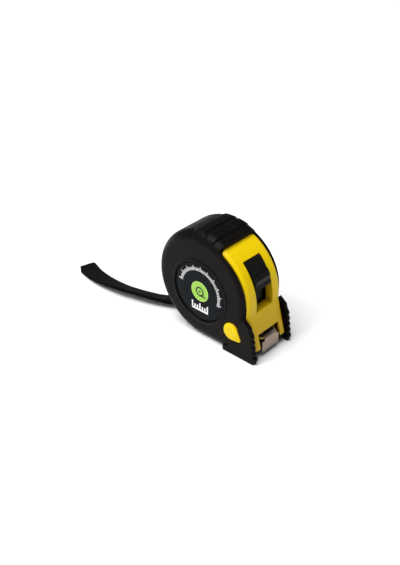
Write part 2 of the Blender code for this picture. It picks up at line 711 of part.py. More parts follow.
def make_cover():
    inner, outer = -REEL_HALF, -REEL_SIDE
    bore = SPINDLE_R + SLIDE_GAP
    profile = [(bore, outer), (bore, inner), (FLANGE_R, inner), (FLANGE_R, outer)]
    return finish("reel_cover", turned(profile, 0.0, REEL_Z), black_plastic())


def make_coil():
    inner = DRUM_R + GAP
    profile = [(inner, -BLADE_HALF), (inner, BLADE_HALF), (COIL_R, BLADE_HALF), (COIL_R, -BLADE_HALF)]
    return finish("blade_coil", turned(profile, 0.0, REEL_Z), blade_paint())


def make_power_spring():
    half = REEL_HALF - SLIDE_GAP - FLANGE_T / 2
    start_r = SPINDLE_R + 2 * SLIDE_GAP
    end_r = DRUM_R - DRUM_WALL - SLIDE_GAP - SPRING_T
    steps = SPRING_TURNS * 20
    rings = []
    for i in range(steps + 1):
        turn = 2 * math.pi * SPRING_TURNS * i / steps
        radius = start_r + (end_r - start_r) * i / steps
        inner, outer = polar(radius, turn), polar(radius + SPRING_T, turn)
        rings.append([(inner[0], -half, inner[1]), (inner[0], half, inner[1]),
                      (outer[0], half, outer[1]), (outer[0], -half, outer[1])])
    return finish("power_spring", loft(rings), steel())


def make_spindle():
    return finish("spindle", disc(0.0, REEL_Z, SPINDLE_R, -CAVITY_HALF, CAVITY_HALF, steps=24), steel())


# ================================================================ blade and hook
def blade_height(y, curl, rise=0.0):
    """Height of the blade's upper face across its width."""
    share = y / BLADE_HALF
    return BLADE_TOP_Z + curl * share * share + rise


def across(half):
    """Nine Y positions from edge to edge."""
    return [half * (i / 4 - 1) for i in range(9)]


def make_lead():
    """The flat blade leaving the coil and curling into its trough shape, with clipped end corners."""
    start_x = BLADE_FREE_X / 15
    end_x = HOOK_X - GAP
    stations = [(x, BLADE_HALF) for x in (start_x, BLADE_FREE_X / 3, BLADE_FREE_X * 2 / 3, BLADE_FREE_X)]
    stations += [(end_x - BLADE_CLIP, BLADE_HALF), (end_x, TAB_HALF)]
    rings = []
    for x, half in stations:
        share = min((x - start_x) / (BLADE_FREE_X - start_x), 1.0)
        curl = BLADE_CURL * share * share * (3 - 2 * share)
        top = [(x, y, blade_height(y, curl)) for y in across(half)]
        under = [(x, y, blade_height(y, curl, -BLADE_T)) for y in reversed(across(half))]
        rings.append(top + under)
    lead = finish("blade_lead", loft(rings), blade_paint())
    for y in (-RIVET_Y, RIVET_Y):
        add_tool(lead, upright(RIVET_X, y, RIVET_R + GAP, BLADE_TOP_Z - MOUTH_HEIGHT, MOUTH_TOP))
    return lead


def upright(x, y, radius, low_z, high_z, steps=16):
    return loft([[(px, py, z) for px, py in circle(x, y, radius, steps)] for z in (low_z, high_z)])


def make_hook():
    """Steel hook: a curled tab over the blade's end and a wider plate that hangs in front of the mouth."""
    front, over, bend = HOOK_X + HOOK_T, HOOK_LIFT + HOOK_T, HOOK_T / 2
    rings = []
    back_x = RIVET_X - RIVET_HEAD_R - HOOK_PLAY - SLIDE_GAP
    for x, drop in ((back_x, 0.0), (front - bend, 0.0), (front, bend)):
        top = [(x, y, blade_height(y, BLADE_CURL, over - drop)) for y in across(TAB_HALF)]
        low = [(x, y, blade_height(y, BLADE_CURL, HOOK_LIFT)) for y in reversed(across(TAB_HALF))]
        rings.append(top + low)
    hook = finish("end_hook", loft(rings), steel())
    shoulder_z = BLADE_TOP_Z + over - HOOK_NECK
    field = arc(HOOK_HALF - HOOK_CORNER, HOOK_LOW_Z + HOOK_CORNER, HOOK_CORNER, 0.0, -math.pi / 2, 3)
    field += [(-y, z) for y, z in reversed(field)]
    field += [(-HOOK_HALF, shoulder_z - bend), (bend - HOOK_HALF, shoulder_z), (-TAB_HALF, shoulder_z)]
    field += [(y, blade_height(y, BLADE_CURL, over - bend)) for y in across(TAB_HALF)]
    field += [(TAB_HALF, shoulder_z), (HOOK_HALF - bend, shoulder_z), (HOOK_HALF, shoulder_z - bend)]
    add_tool(hook, loft([[(x, y, z) for y, z in field] for x in (HOOK_X, front)]), "UNION")
    for y in (-RIVET_Y, RIVET_Y):
        add_tool(hook, rivet_slot(y))
    return hook


def rivet_slot(y):
    """A slot as long as the hook's play, so that the hook shifts by its own thickness."""
    radius = RIVET_R + GAP
    ring = arc(RIVET_X, y, radius, -math.pi / 2, math.pi / 2, 6)
    ring += arc(RIVET_X - HOOK_PLAY, y, radius, math.pi / 2, 3 * math.pi / 2, 6)
    return loft([[(px, py, z) for px, py in ring] for z in (BLADE_TOP_Z - MOUTH_HEIGHT, MOUTH_TOP)])


def make_rivet(name, y):
    """Shank through the blade and the hook's slot, with a head above and below."""
    outer, inner = (abs(y) + RIVET_HEAD_R) / BLADE_HALF, max(abs(y) - RIVET_HEAD_R, 0.0) / BLADE_HALF
    head = BLADE_TOP_Z + BLADE_CURL * outer * outer + HOOK_LIFT + HOOK_T + GAP / 2
    tail = BLADE_TOP_Z + BLADE_CURL * inner * inner - BLADE_T - GAP / 2
    heights = (tail - RIVET_HEAD_T, tail, tail, head, head, head + RIVET_HEAD_T)
    radii = (RIVET_HEAD_R, RIVET_HEAD_R, RIVET_R, RIVET_R, RIVET_HEAD_R, RIVET_HEAD_R * 0.6)
    rings = [[(px, py, z) for px, py in circle(RIVET_X, y, radius, 14)] for z, radius in zip(heights, radii)]
    return finish(name, loft(rings), steel())


def make_bumper():
    """Block between the feet that the hook's plate comes to rest on."""
    half = RECESS_HALF - GAP
    point, up = chin_line(COVER)
    top_z = BLADE_TOP_Z - BLADE_T - COVER
    heights = (top_z - BUMPER_HEIGHT, top_z)
    back = [(point.x + up.x * (z - point.y) / up.y, z) for z in heights]
    front = [(HOOK_X - GAP, z) for z in reversed(heights)]
    return finish("hook_bumper", slab(back + front, -half, half), rubber())


def make_guide():
    """Nylon plate under the blade, where the lock's tongue presses it."""
    top_z = BLADE_TOP_Z - BLADE_T - SLIDE_GAP
    low = (GUIDE_BACK_X, -BLADE_HALF, CHIN_BOSS_Z + BOSS_R + GAP)
    high = (RIVET_X - RIVET_HEAD_R - SLIDE_GAP, BLADE_HALF, top_z)
    return finish("blade_guide", box(low, high), nylon())


# ================================================================ thumb lock
def make_slider():
    half = SLOT_HALF - SLIDE_GAP
    inner_r = TONGUE_R + GAP
    face_r = FRONT_R + PAD_OUT
    pad = slab(sector(inner_r, face_r, PAD_BOTTOM, PAD_TOP, 10), -half, half)
    slider = finish("lock_slider", pad, black_plastic())
    ridge = sector(FRONT_R - PAD_OUT, FRONT_R + RIDGE_OUT, RIDGE_FROM, RIDGE_TO, 6)
    add_tool(slider, slab(ridge, -half + RIDGE_SIDE, half - RIDGE_SIDE), "UNION")
    return slider


def tongue_tip_turn():
    """Angle of the tongue's tip at rest: a turn of LOCK_TURN brings it down onto the blade."""
    landing_z = blade_height(TONGUE_HALF, BLADE_CURL, GAP / 2)
    return -math.asin((REEL_Z - landing_z) / TONGUE_R) + LOCK_TURN


def make_tongue():
    outer_r, inner_r = TONGUE_R, TONGUE_R - TONGUE_T
    strip = slab(sector(inner_r, outer_r, tongue_tip_turn(), TONGUE_TOP, 20), -TONGUE_HALF, TONGUE_HALF)
    return finish("lock_tongue", strip, black_plastic())


# ================================================================ stop button
def make_button():
    """Teardrop button with a crowned top and a lip inside the case that keeps it in."""
    crown_y = face_y(-1, -BUTTON_OUT)
    sections = [(crown_y + depth, grow) for depth, grow in BUTTON_CROWN] + [(BUTTON_LIP_Y, 0.0)]
    stem = loft([[(x, y, z) for x, z in teardrop(grow)] for y, grow in sections])
    button = finish("stop_button", stem, yellow())
    add_tool(button, slab(teardrop(BUTTON_LIP), BUTTON_LIP_Y, BUTTON_BACK_Y), "UNION")
    ear = disc(STOP_PAD_X, STOP_PAD_Z, PAD_R + GAP, BUTTON_LIP_Y, BUTTON_BACK_Y, steps=20)
    return add_tool(button, ear, "UNION")


def make_stop_pad():
    back = BUTTON_BACK_Y + GAP / 2
    return finish("stop_pad", disc(STOP_PAD_X, STOP_PAD_Z, PAD_R, back, back + PAD_T, steps=20), rubber())


def make_stop_spring():
    """Open coil between the button's lip and the seat in the right shell."""
    start_y = BUTTON_BACK_Y + GAP + STOP_SPRING_WIRE
    end_y = SEAT_Y - SEAT_T - GAP - STOP_SPRING_WIRE
    steps = int(STOP_SPRING_TURNS * 14)
    rings = []
    for i in range(steps + 1):
        turn = 2 * math.pi * STOP_SPRING_TURNS * i / steps
        y = start_y + (end_y - start_y) * i / steps
        ring = []
        for k in range(6):
            lean = 2 * math.pi * k / 6
            radius = STOP_SPRING_R + STOP_SPRING_WIRE * math.cos(lean)
            ring.append((STOP_SPRING_X + radius * math.cos(turn), y + STOP_SPRING_WIRE * math.sin(lean),
                         STOP_SPRING_Z + radius * math.sin(turn)))
        rings.append(ring)
    return finish("stop_spring", loft(rings), steel())


# ================================================================ labels and fasteners
def make_label(name, side):
    low, high = sorted((side * (SHELL_HALF + GAP), side * (SHELL_HALF + GAP + LABEL_T)))
    return finish(name, disc(0.0, REEL_Z, LABEL_R, low, high, steps=48), print_film())


def make_case_screw(name, x, z):
    """Cross-head screw from the left face into the right shell."""
    head_y = SHELL_HALF + GAP
    tip_y = -CAVITY_HALF + SCREW_R
    profile = ((tip_y, SCREW_R * 0.5), (tip_y + SCREW_R, SCREW_R), (head_y, SCREW_R), (head_y, SCREW_HEAD_R),
               (head_y + SCREW_HEAD_T * 0.6, SCREW_HEAD_R), (head_y + SCREW_HEAD_T, SCREW_HEAD_R * 0.7))
    rings = [[(px, y, pz) for px, pz in circle(x, z, radius, 14)] for y, radius in profile]
    screw = finish(name, loft(rings), steel())
    cross_cut(screw, x, z, head_y + SCREW_HEAD_T, SCREW_HEAD_R * 0.62)
    return screw


def cross_cut(screw, x, z, top_y, reach):
    """A cross recess in the head."""
    half = CROSS_SLOT / 2
    star = [(x + reach, z - half), (x + reach, z + half), (x + half, z + half), (x + half, z + reach),
            (x - half, z + reach), (x - half, z + half), (x - reach, z + half), (x - reach, z - half),
            (x - half, z - half), (x - half, z - reach), (x + half, z - reach), (x + half, z - half)]
    add_tool(screw, slab(star, top_y - CROSS_DEPTH, top_y + CROSS_DEPTH))


def make_belt_clip():
    """Sprung steel strip: a foot screwed to the case, a step out, and a blade down to a turned-out lip."""
    face, t = HALF_WIDTH + GAP, CLIP_T
    out = HALF_WIDTH + RING_HEIGHT + CLIP_GAP
    step_z, lip_z = CLIP_FOOT_Z - CLIP_STEP, CLIP_LOW_Z + CLIP_LIP
    inside = [(face, CLIP_TOP_Z), (face, CLIP_FOOT_Z), (out, step_z), (out, lip_z),
              (out + CLIP_LIP / 2, CLIP_LOW_Z)]
    outside = [(face + t, CLIP_TOP_Z), (face + t, CLIP_FOOT_Z + t / 2), (out + t, step_z + t / 2),
               (out + t, lip_z + t / 4), (out + t + CLIP_LIP / 2, CLIP_LOW_Z + t / 4)]
    ring = inside + list(reversed(outside))
    half = CLIP_WIDTH / 2
    clip = finish("belt_clip", loft([[(x, y, z) for y, z in ring] for x in (-half, half)]), steel())
    return add_tool(clip, disc(0.0, CLIP_SCREW_Z, CLIP_SCREW_R + GAP, 0.0, FAR, steps=16))


def make_clip_screw():
    seat_y = HALF_WIDTH + GAP + CLIP_T + GAP
    tip_y = REEL_SIDE + SLIDE_GAP + GAP
    top_y = seat_y + CLIP_SCREW_HEAD_T
    profile = ((tip_y, CLIP_SCREW_R * 0.6), (tip_y + CLIP_SCREW_R / 2, CLIP_SCREW_R), (seat_y, CLIP_SCREW_R),
               (seat_y, CLIP_SCREW_HEAD_R), (seat_y + CLIP_SCREW_HEAD_T / 2, CLIP_SCREW_HEAD_R),
               (top_y, CLIP_SCREW_HEAD_R * 0.6))
    rings = [[(px, y, pz) for px, pz in circle(0.0, CLIP_SCREW_Z, radius, 16)] for y, radius in profile]
    screw = finish("clip_screw", loft(rings), steel())
    cross_cut(screw, 0.0, CLIP_SCREW_Z, top_y, CLIP_SCREW_HEAD_R * 0.55)
    return screw


# ================================================================ wrist strap
def make_strap_pin():
    half = NOTCH_HALF + NOTCH_WALL
    return finish("strap_pin", disc(PIN_X, PIN_Z, PIN_R, -half, half, steps=16), steel())


def smooth(points, per_span):
    """Catmull-Rom points through a list of tuples."""
    ends = [points[0]] + list(points) + [points[-1]]
    curve = []
    for a, b, c, d in zip(ends, ends[1:], ends[2:], ends[3:]):
        for i in range(per_span):
            t = i / per_span
            curve.append(tuple(0.5 * (2 * q + (r - p) * t + (2 * p - 5 * q + 4 * r - s) * t * t
                                      + (3 * q - p - 3 * r + s) * t ** 3) for p, q, r, s in zip(a, b, c, d)))
    curve.append(tuple(points[-1]))
    return curve


def resting_height(twist):
    """Height of the folded strap's middle when its lower edge lies on the base plane."""
    return (STRAP_WIDTH / 2 * math.sin(twist) + (STRAP_T + STRAP_SPLIT / 2) * math.cos(twist)) + STRAP_LIFT


def strap_frames():
    """Middle, across and up vectors along the folded strap, from the pin to its far fold."""
    route = []
    for back, y, share, twist in STRAP_ROUTE:
        twist = math.radians(twist)
        route.append((PIN_X - back, y, max(PIN_Z * share, resting_height(twist)), twist))
    route = smooth(route, 4)
    frames = []
    for i, (x, y, z, twist) in enumerate(route):
        before, after = route[max(i - 1, 0)], route[min(i + 1, len(route) - 1)]
        ahead = (Vector(after[:3]) - Vector(before[:3])).normalized()
        level = Vector((-ahead.y, ahead.x, 0.0)).normalized()
        side = Matrix.Rotation(twist, 3, ahead) @ level
        frames.append((Vector((x, y, z)), side, ahead.cross(side)))
    return frames


def strap_section(frame, grow=0.0):
    middle, side, up = frame
    half = side * (STRAP_WIDTH / 2 + grow)
    rise = up * (STRAP_T + STRAP_SPLIT / 2 + grow)
    return [middle - half - rise, middle + half - rise, middle + half + rise, middle - half + rise]


def make_strap():
    return finish("wrist_strap", loft([strap_section(frame) for frame in strap_frames()]), webbing())


def make_ferrule():
    """Crimped sleeve that holds the strap's two runs together behind the pin."""
    frames = strap_frames()
    pin = Vector((PIN_X, 0.0, PIN_Z))
    spots = [(frame[0] - pin).length for frame in frames]
    first = min(range(1, len(spots)), key=lambda i: abs(spots[i] - FERRULE_AT + FERRULE_LENGTH / 2))
    last = min(range(1, len(spots)), key=lambda i: abs(spots[i] - FERRULE_AT - FERRULE_LENGTH / 2))
    outer = [strap_section(frame, GAP + FERRULE_T) for frame in frames[first:last + 1]]
    inner = [strap_section(frame, GAP) for frame in frames[first - 1:last + 2]]
    ferrule = finish("strap_ferrule", loft(outer), steel())
    return add_tool(ferrule, loft(inner))


# ================================================================ whole object
def joint_frame(name, location):
    frame = bpy.data.objects.new(name, None)
    frame.location = location
    frame.empty_display_size = 0.01
    bpy.context.scene.collection.objects.link(frame)
    return frame


def hang(frame, pieces):
    """Parents the pieces to the frame without moving them."""
    for piece in pieces:
        piece.parent = frame
        piece.matrix_parent_inverse = Matrix.Translation(-frame.location)


def clear_scene():
    for item in list(bpy.data.objects):
        bpy.data.objects.remove(item, do_unlink=True)


def build():
    clear_scene()
    case = joint_frame("case", (0.0, 0.0, 0.0))
    fixed = [make_right_shell(), make_left_shell(), make_right_grip(), make_left_grip(), make_bezel(),
             make_label("right_label", -1), make_label("left_label", 1), make_spindle(), make_bumper(),
             make_guide(), make_belt_clip(), make_clip_screw(), make_strap_pin(), make_strap(),
             make_ferrule()]
    fixed += [make_case_screw(f"case_screw_{i + 1}", x, z) for i, (x, z) in enumerate(bosses())]
    hang(case, fixed)
    reel = joint_frame("reel", (0.0, 0.0, REEL_Z))
    hang(reel, [make_drum(), make_cover(), make_coil(), make_power_spring()])
    blade = joint_frame("blade", (HOOK_X, 0.0, BLADE_TOP_Z))
    rivets = [make_rivet("hook_rivet_right", -RIVET_Y), make_rivet("hook_rivet_left", RIVET_Y)]
    hang(blade, [make_lead()] + rivets)
    hook = joint_frame("hook", (HOOK_X, 0.0, BLADE_TOP_Z))
    hang(hook, [make_hook()])
    lock = joint_frame("lock", (0.0, 0.0, REEL_Z))
    hang(lock, [make_slider(), make_tongue()])
    stop = joint_frame("stop", (BUTTON_X, -HALF_WIDTH, BUTTON_Z))
    hang(stop, [make_button(), make_stop_pad(), make_stop_spring()])


build()
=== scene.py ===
"""Looks of the pocket tape measure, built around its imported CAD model. Lengths are metres."""

from math import acos, asin, atan2, copysign, cos, pi, radians, sin, sqrt, tan

import bmesh
import bpy
from mathutils import Matrix, Vector


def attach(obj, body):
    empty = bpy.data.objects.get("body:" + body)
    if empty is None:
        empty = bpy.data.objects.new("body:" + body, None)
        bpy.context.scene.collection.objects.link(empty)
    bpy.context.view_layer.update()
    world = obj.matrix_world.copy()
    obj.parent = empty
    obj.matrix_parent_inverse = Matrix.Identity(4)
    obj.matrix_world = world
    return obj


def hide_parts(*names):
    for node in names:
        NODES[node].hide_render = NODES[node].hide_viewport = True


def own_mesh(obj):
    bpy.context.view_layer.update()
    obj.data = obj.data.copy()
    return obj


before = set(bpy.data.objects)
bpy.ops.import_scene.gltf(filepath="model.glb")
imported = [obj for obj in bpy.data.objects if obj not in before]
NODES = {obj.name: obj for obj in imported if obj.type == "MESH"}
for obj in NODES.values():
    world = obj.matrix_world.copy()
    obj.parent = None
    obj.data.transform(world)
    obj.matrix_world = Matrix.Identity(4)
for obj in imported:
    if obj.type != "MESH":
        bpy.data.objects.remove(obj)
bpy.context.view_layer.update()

# -------- sizes, as in the CAD model
GAP = 0.0003
SLIDE_GAP = 0.0004
REEL_Z = 0.0309
BODY_X, BODY_Z, BODY_R = 0.0005, 0.0336, 0.034
HALF_WIDTH = 0.01615
SHOULDER = 0.0059
PARTING_Y = 0.003
FRONT_R = 0.0342
KNEE = radians(-6.05)
CHIN_LEAN = radians(14.9)
CHIN_CORNER = 0.0062
COVER = 0.0018
BLADE_HALF = 0.008
BLADE_T = 0.0003
BLADE_CURL = 0.0010
BLADE_FREE_X = 0.018
BLADE_CLIP = 0.0026
COIL_R = 0.0199
FLANGE_R = 0.0224
BLADE_TOP_Z = REEL_Z - COIL_R - GAP
MOUTH_TOP = BLADE_TOP_Z + 0.0042
MOUTH_BACK_X = 0.0300
RECESS_HALF = 0.0088
CHIN_X = FRONT_R * cos(KNEE)
CHIN_Z = REEL_Z + FRONT_R * sin(KNEE)
HOOK_X = CHIN_X + (CHIN_Z - MOUTH_TOP) * tan(CHIN_LEAN) + 0.0012
HOOK_T = 0.0008
HOOK_HALF = 0.0073
HOOK_LOW_Z = 0.0024
HOOK_CORNER = 0.0016
HOOK_NECK = 0.0022
TAB_HALF = HOOK_HALF - 0.0021
HOOK_PLAY = 0.0009
HOOK_LIFT = 0.0004
RIVET_X = HOOK_X - 0.0045
RIVET_Y = 0.0032
RIVET_R = 0.0010
RIVET_HEAD_R = 0.0017
RIVET_HEAD_T = 0.0005
WINDOW_TOP = radians(66.0)
WINDOW_CORNER = 0.0042
WINDOW_DEPTH_FROM = 0.028
WINDOW_SPLIT = 0.003
RIM_DROP = 0.0008
BAND_HEIGHT = 0.0008
BAND_RAMP = 0.0014
BANDS = ((75.0, 84.5), (89.5, 100.0))
FOOT_BACK_X = 0.0175
FOOT_FRONT_X = HOOK_X + 0.0029
FOOT_INNER_Y = RECESS_HALF + 0.0050
FOOT_OUTER_Y = HALF_WIDTH + 0.0008
FOOT_SIDE_EDGE = 0.0009
RIB_BASE_Z = 0.0014
RIB_PITCH = 0.0037
RIB_DEPTH = 0.0011
RIB_COUNT = 5
LABEL_R = 0.01845
LABEL_T = 0.0015
INK_T = 0.00005          # print above the label, and as far sunk into it
DOT_PITCH = 0.00105
SHELL_HALF = HALF_WIDTH - COVER - GAP
CAVITY_HALF = SHELL_HALF - 0.0015
RING_R = LABEL_R + GAP
RING_WIDTH = 0.0019
RING_HEIGHT = 0.0005
BEZEL_HALF = HALF_WIDTH - 0.00195
BEZEL_CORNER = 0.0030
BEZEL_DEPTH = 0.0036
BEZEL_FOOT_Z = 0.0062
SLOT_HALF = 0.0069
SLOT_TOP = radians(46.4)
SLOT_BOTTOM = radians(-5.8)
COLLAR_WALL = 0.0010
COLLAR_R = FRONT_R - 0.0052
PAD_TOP = radians(45.6)
PAD_BOTTOM = radians(16.4)
PAD_OUT = 0.0004
RIDGE_OUT = 0.0019
RIDGE_FROM = radians(20.0)
RIDGE_TO = radians(34.0)
BUTTON_TURN = radians(-33.4)
BUTTON_R = 0.0054
BUTTON_LENGTH = 0.0080
BUTTON_LEAN = radians(-29.0)
BUTTON_TIP_R = 0.0017
BUTTON_OUT = 0.0013
BUTTON_X = (FLANGE_R + BUTTON_R + 0.0009) * cos(BUTTON_TURN)
BUTTON_Z = REEL_Z + (FLANGE_R + BUTTON_R + 0.0009) * sin(BUTTON_TURN)
SCREW_HEAD_R = 0.0022
SCREW_HEAD_T = 0.0012
BOSS_REACH = 0.0254      # reel's axis to the upper case screws
BOSS_TURNS = (64.0, 150.0, 215.0)
SCREW_SPOTS = [(BOSS_REACH * cos(radians(t)), REEL_Z + BOSS_REACH * sin(radians(t)))
               for t in BOSS_TURNS] + [(HOOK_X - 0.0076, 0.0064)]
SCREW_R = 0.0010
CLIP_HALF = 0.0060
CLIP_T = 0.0011
CLIP_GAP = 0.0050
CLIP_FOOT_Z = REEL_Z + RING_R + RING_WIDTH
CLIP_TOP_Z = CLIP_FOOT_Z + 0.0080
CLIP_SCREW_Z = CLIP_FOOT_Z + 0.0040
CLIP_SCREW_HEAD_R = 0.0026
CLIP_SCREW_HEAD_T = 0.0013
CLIP_SCREW_R = 0.0012
CLIP_SCREW_TAIL_Y = 0.0101
CLIP_HOLE_R = 0.0015
CLIP_LOW_Z = 0.0160
CLIP_LIP = 0.0050
STRAP_WIDTH = 0.0115
STRAP_T = 0.0011
STRAP_SPLIT = 0.0003
PIN_X = BODY_X + (BODY_R - 0.00116) * cos(radians(229.6))
PIN_Z = BODY_Z + (BODY_R - 0.00116) * sin(radians(229.6))
PIN_R = 0.0010
NOTCH_HALF = STRAP_WIDTH / 2 + 0.0010
NOTCH_R = 0.0042
NOTCH_WALL = 0.0012
STRAP_LIFT = 0.0002
# Where the webbing's line starts and ends near the pin. They leave the run open at the pin.
START_FRAME = 8
WRAP_STEPS = 9           # twelfths of half a turn round the pin
FOLD_FRAMES = 16         # frames over which the far fold swells
FOLD_SWELL = 0.0007
FOLD_TAPER = 0.0045      # webbing each side of the fold that narrows
FOLD_NARROW = 0.30       # of its width, at the fold
STRAP_ROUTE = (  # back from the pin, y, height as a share of the pin's, twist in degrees
    (0.0016, 0.0000, 0.92, 0.0),
    (0.0050, 0.0000, 0.74, 0.0),
    (0.0084, 0.0000, 0.56, 0.0),
    (0.0118, -0.0020, 0.42, 9.0),
    (0.0165, -0.0050, 0.28, 17.0),
    (0.0251, -0.0093, 0.20, 23.0),
    (0.0418, -0.0142, 0.20, 24.0),
    (0.0552, -0.0158, 0.20, 17.5),
    (0.0682, -0.0153, 0.20, 8.5),
    (0.0820, -0.0126, 0.15, 3.0),
)
BODY = (BODY_X, BODY_Z, BODY_R)
FRONT = (0.0, REEL_Z, FRONT_R)
FAR = 0.08               # cutters reach this far past the case


# ======== camera, floor and light
def place_camera():
    data = bpy.data.cameras.new("camera")
    data.lens = 53.94
    data.sensor_width = 36.0
    data.sensor_fit = "AUTO"
    data.clip_start = 0.01
    camera = bpy.data.objects.new("camera", data)
    bpy.context.scene.collection.objects.link(camera)
    azimuth, elevation, roll = radians(43.012), radians(33.355), radians(-0.698)
    turn = (Matrix.Rotation(azimuth, 4, "Z") @ Matrix.Rotation(pi / 2 - elevation, 4, "X")
            @ Matrix.Rotation(roll, 4, "Z"))
    axes = (Vector((1, 0, 0)), Vector((0, 1, 0)), Vector((0, 0, 1)))
    right, up, back = (turn.to_3x3() @ axis for axis in axes)
    camera.matrix_world = Matrix.Translation(-0.010903 * right + 0.024403 * up + 0.502417 * back) @ turn
    bpy.context.scene.camera = camera


def light_scene():
    world = bpy.data.worlds.new("studio")
    world.use_nodes = True
    backdrop = world.node_tree.nodes["Background"]
    backdrop.inputs["Color"].default_value = (1.0, 1.0, 1.0, 1.0)
    backdrop.inputs["Strength"].default_value = 0.20
    bpy.context.scene.world = world
    bpy.context.scene.view_settings.view_transform = "Standard"

    sun = bpy.data.lights.new("overhead", "SUN")
    sun.energy = 2.9
    sun.angle = radians(50.0)
    aim(sun, (-0.10, -0.22, 1.0))

    for name, size, energy, location in (("side_fill", (0.5, 0.35), 0.9, (-0.28, -0.72, 0.42)),
                                         ("shoulder_strip", (0.30, 0.08), 1.3, (-0.16, -0.34, 0.52))):
        panel = bpy.data.lights.new(name, "AREA")
        panel.shape = "RECTANGLE"
        panel.size, panel.size_y = size
        panel.energy = energy
        aim(panel, location)


def aim(data, location, target=(0.0, 0.0, 0.03)):
    lamp = bpy.data.objects.new(data.name, data)
    bpy.context.scene.collection.objects.link(lamp)
    lamp.location = location
    away = Vector(location) - Vector(target)
    lamp.rotation_euler = away.to_track_quat("Z", "Y").to_euler()


def lay_floor():
    floor = from_bmesh("floor", plane(6.0), "floor")


def plane(half):
    shape = bmesh.new()
    corners = ((-half, -half), (half, -half), (half, half), (-half, half))
    shape.faces.new([shape.verts.new((x, y, 0.0)) for x, y in corners])
    return shape


# ======== materials
class Paint:
    """Short calls for building one node material."""

    def __init__(self, name, roughness, metallic=0.0, specular=0.5):
        self.material = bpy.data.materials.new(name)
        self.material.use_nodes = True
        self.nodes = self.material.node_tree.nodes
        self.links = self.material.node_tree.links
        self.shader = self.nodes["Principled BSDF"]
        self.shader.inputs["Roughness"].default_value = roughness
        self.shader.inputs["Metallic"].default_value = metallic
        self.shader.inputs["Specular IOR Level"].default_value = specular
        self.place = self.nodes.new("ShaderNodeTexCoord").outputs["Object"]

    def put(self, socket, value):
        if isinstance(value, bpy.types.NodeSocket):
            self.links.new(value, socket)
        elif isinstance(value, (tuple, list)) and len(value) == 3 and socket.type == "RGBA":
            socket.default_value = (*value, 1.0)
        else:
            socket.default_value = value

    def math(self, kind, a, b=0.0, c=0.0):
        node = self.nodes.new("ShaderNodeMath")
        node.operation = kind
        for socket, value in zip(node.inputs, (a, b, c)):
            self.put(socket, value)
        return node.outputs[0]

    def times(self, a, b):
        return self.math("MULTIPLY", a, b)

    def plus(self, a, b):
        return self.math("ADD", a, b)

    def noise(self, scale, detail=3.0, stretch=None):
        node = self.nodes.new("ShaderNodeTexNoise")
        node.inputs["Scale"].default_value = scale
        node.inputs["Detail"].default_value = detail
        source = self.place
        if stretch:
            shift = self.nodes.new("ShaderNodeMapping")
            shift.inputs["Scale"].default_value = stretch
            self.links.new(source, shift.inputs["Vector"])
            source = shift.outputs[0]
        self.links.new(source, node.inputs["Vector"])
        return node.outputs["Fac"]

    def cells(self, scale):
        node = self.nodes.new("ShaderNodeTexVoronoi")
        node.inputs["Scale"].default_value = scale
        self.links.new(self.place, node.inputs["Vector"])
        return node.outputs["Distance"]

    def span(self, value, low, high, to_low=0.0, to_high=1.0):
        node = self.nodes.new("ShaderNodeMapRange")
        for socket, number in zip(node.inputs, (value, low, high, to_low, to_high)):
            self.put(socket, number)
        return node.outputs[0]

    def mix(self, share, a, b):
        node = self.nodes.new("ShaderNodeMix")
        node.data_type = "RGBA"
        self.put(node.inputs["Factor"], share)
        self.put(node.inputs["A"], a)
        self.put(node.inputs["B"], b)
        return node.outputs["Result"]

    def axes(self, where=None):
        node = self.nodes.new("ShaderNodeSeparateXYZ")
        self.links.new(where or self.place, node.inputs[0])
        return node.outputs

    def edges(self, low, high):
        """One where the surface is convex, zero where it is flat or hollow."""
        point = self.nodes.new("ShaderNodeNewGeometry").outputs["Pointiness"]
        return self.span(point, low, high)

    def hollow(self, distance):
        """One in the open, falling to zero deep inside a recess."""
        node = self.nodes.new("ShaderNodeAmbientOcclusion")
        node.samples = 8
        node.inputs["Distance"].default_value = distance
        return node.outputs["AO"]

    def color(self, value):
        self.put(self.shader.inputs["Base Color"], value)
        return self

    def rough(self, pattern, low, high):
        self.put(self.shader.inputs["Roughness"], self.span(pattern, 0.3, 0.7, low, high))
        return self

    def bump(self, height, distance, strength=1.0):
        node = self.nodes.new("ShaderNodeBump")
        node.inputs["Strength"].default_value = strength
        node.inputs["Distance"].default_value = distance
        self.links.new(height, node.inputs["Height"])
        last = self.shader.inputs["Normal"]
        if last.is_linked:
            self.links.new(last.links[0].from_socket, node.inputs["Normal"])
        self.links.new(node.outputs[0], last)
        return self


def floor_paint():
    paint = Paint("floor", 0.85, specular=0.1)
    grain = paint.noise(14.0, 2.0)
    paint.color(paint.mix(grain, (0.925, 0.925, 0.925), (0.940, 0.940, 0.940)))
    return paint.material


def rubber_paint():
    paint = Paint("rubber", 0.50, specular=0.065)
    cloud = paint.noise(90.0, 4.0)
    dust = paint.span(paint.noise(420.0, 5.0), 0.52, 0.78)
    base = paint.mix(cloud, (0.0022, 0.0017, 0.0013), (0.0042, 0.0034, 0.0028))
    worn = paint.mix(paint.edges(0.53, 0.62), base, (0.016, 0.013, 0.011))
    paint.color(paint.mix(paint.times(dust, 0.22), worn, (0.015, 0.012, 0.010)))
    paint.rough(cloud, 0.34, 0.48)
    paint.bump(paint.cells(3600.0), 0.00005, 0.35)
    paint.bump(paint.noise(900.0, 3.0), 0.00006, 0.25)
    return paint.material


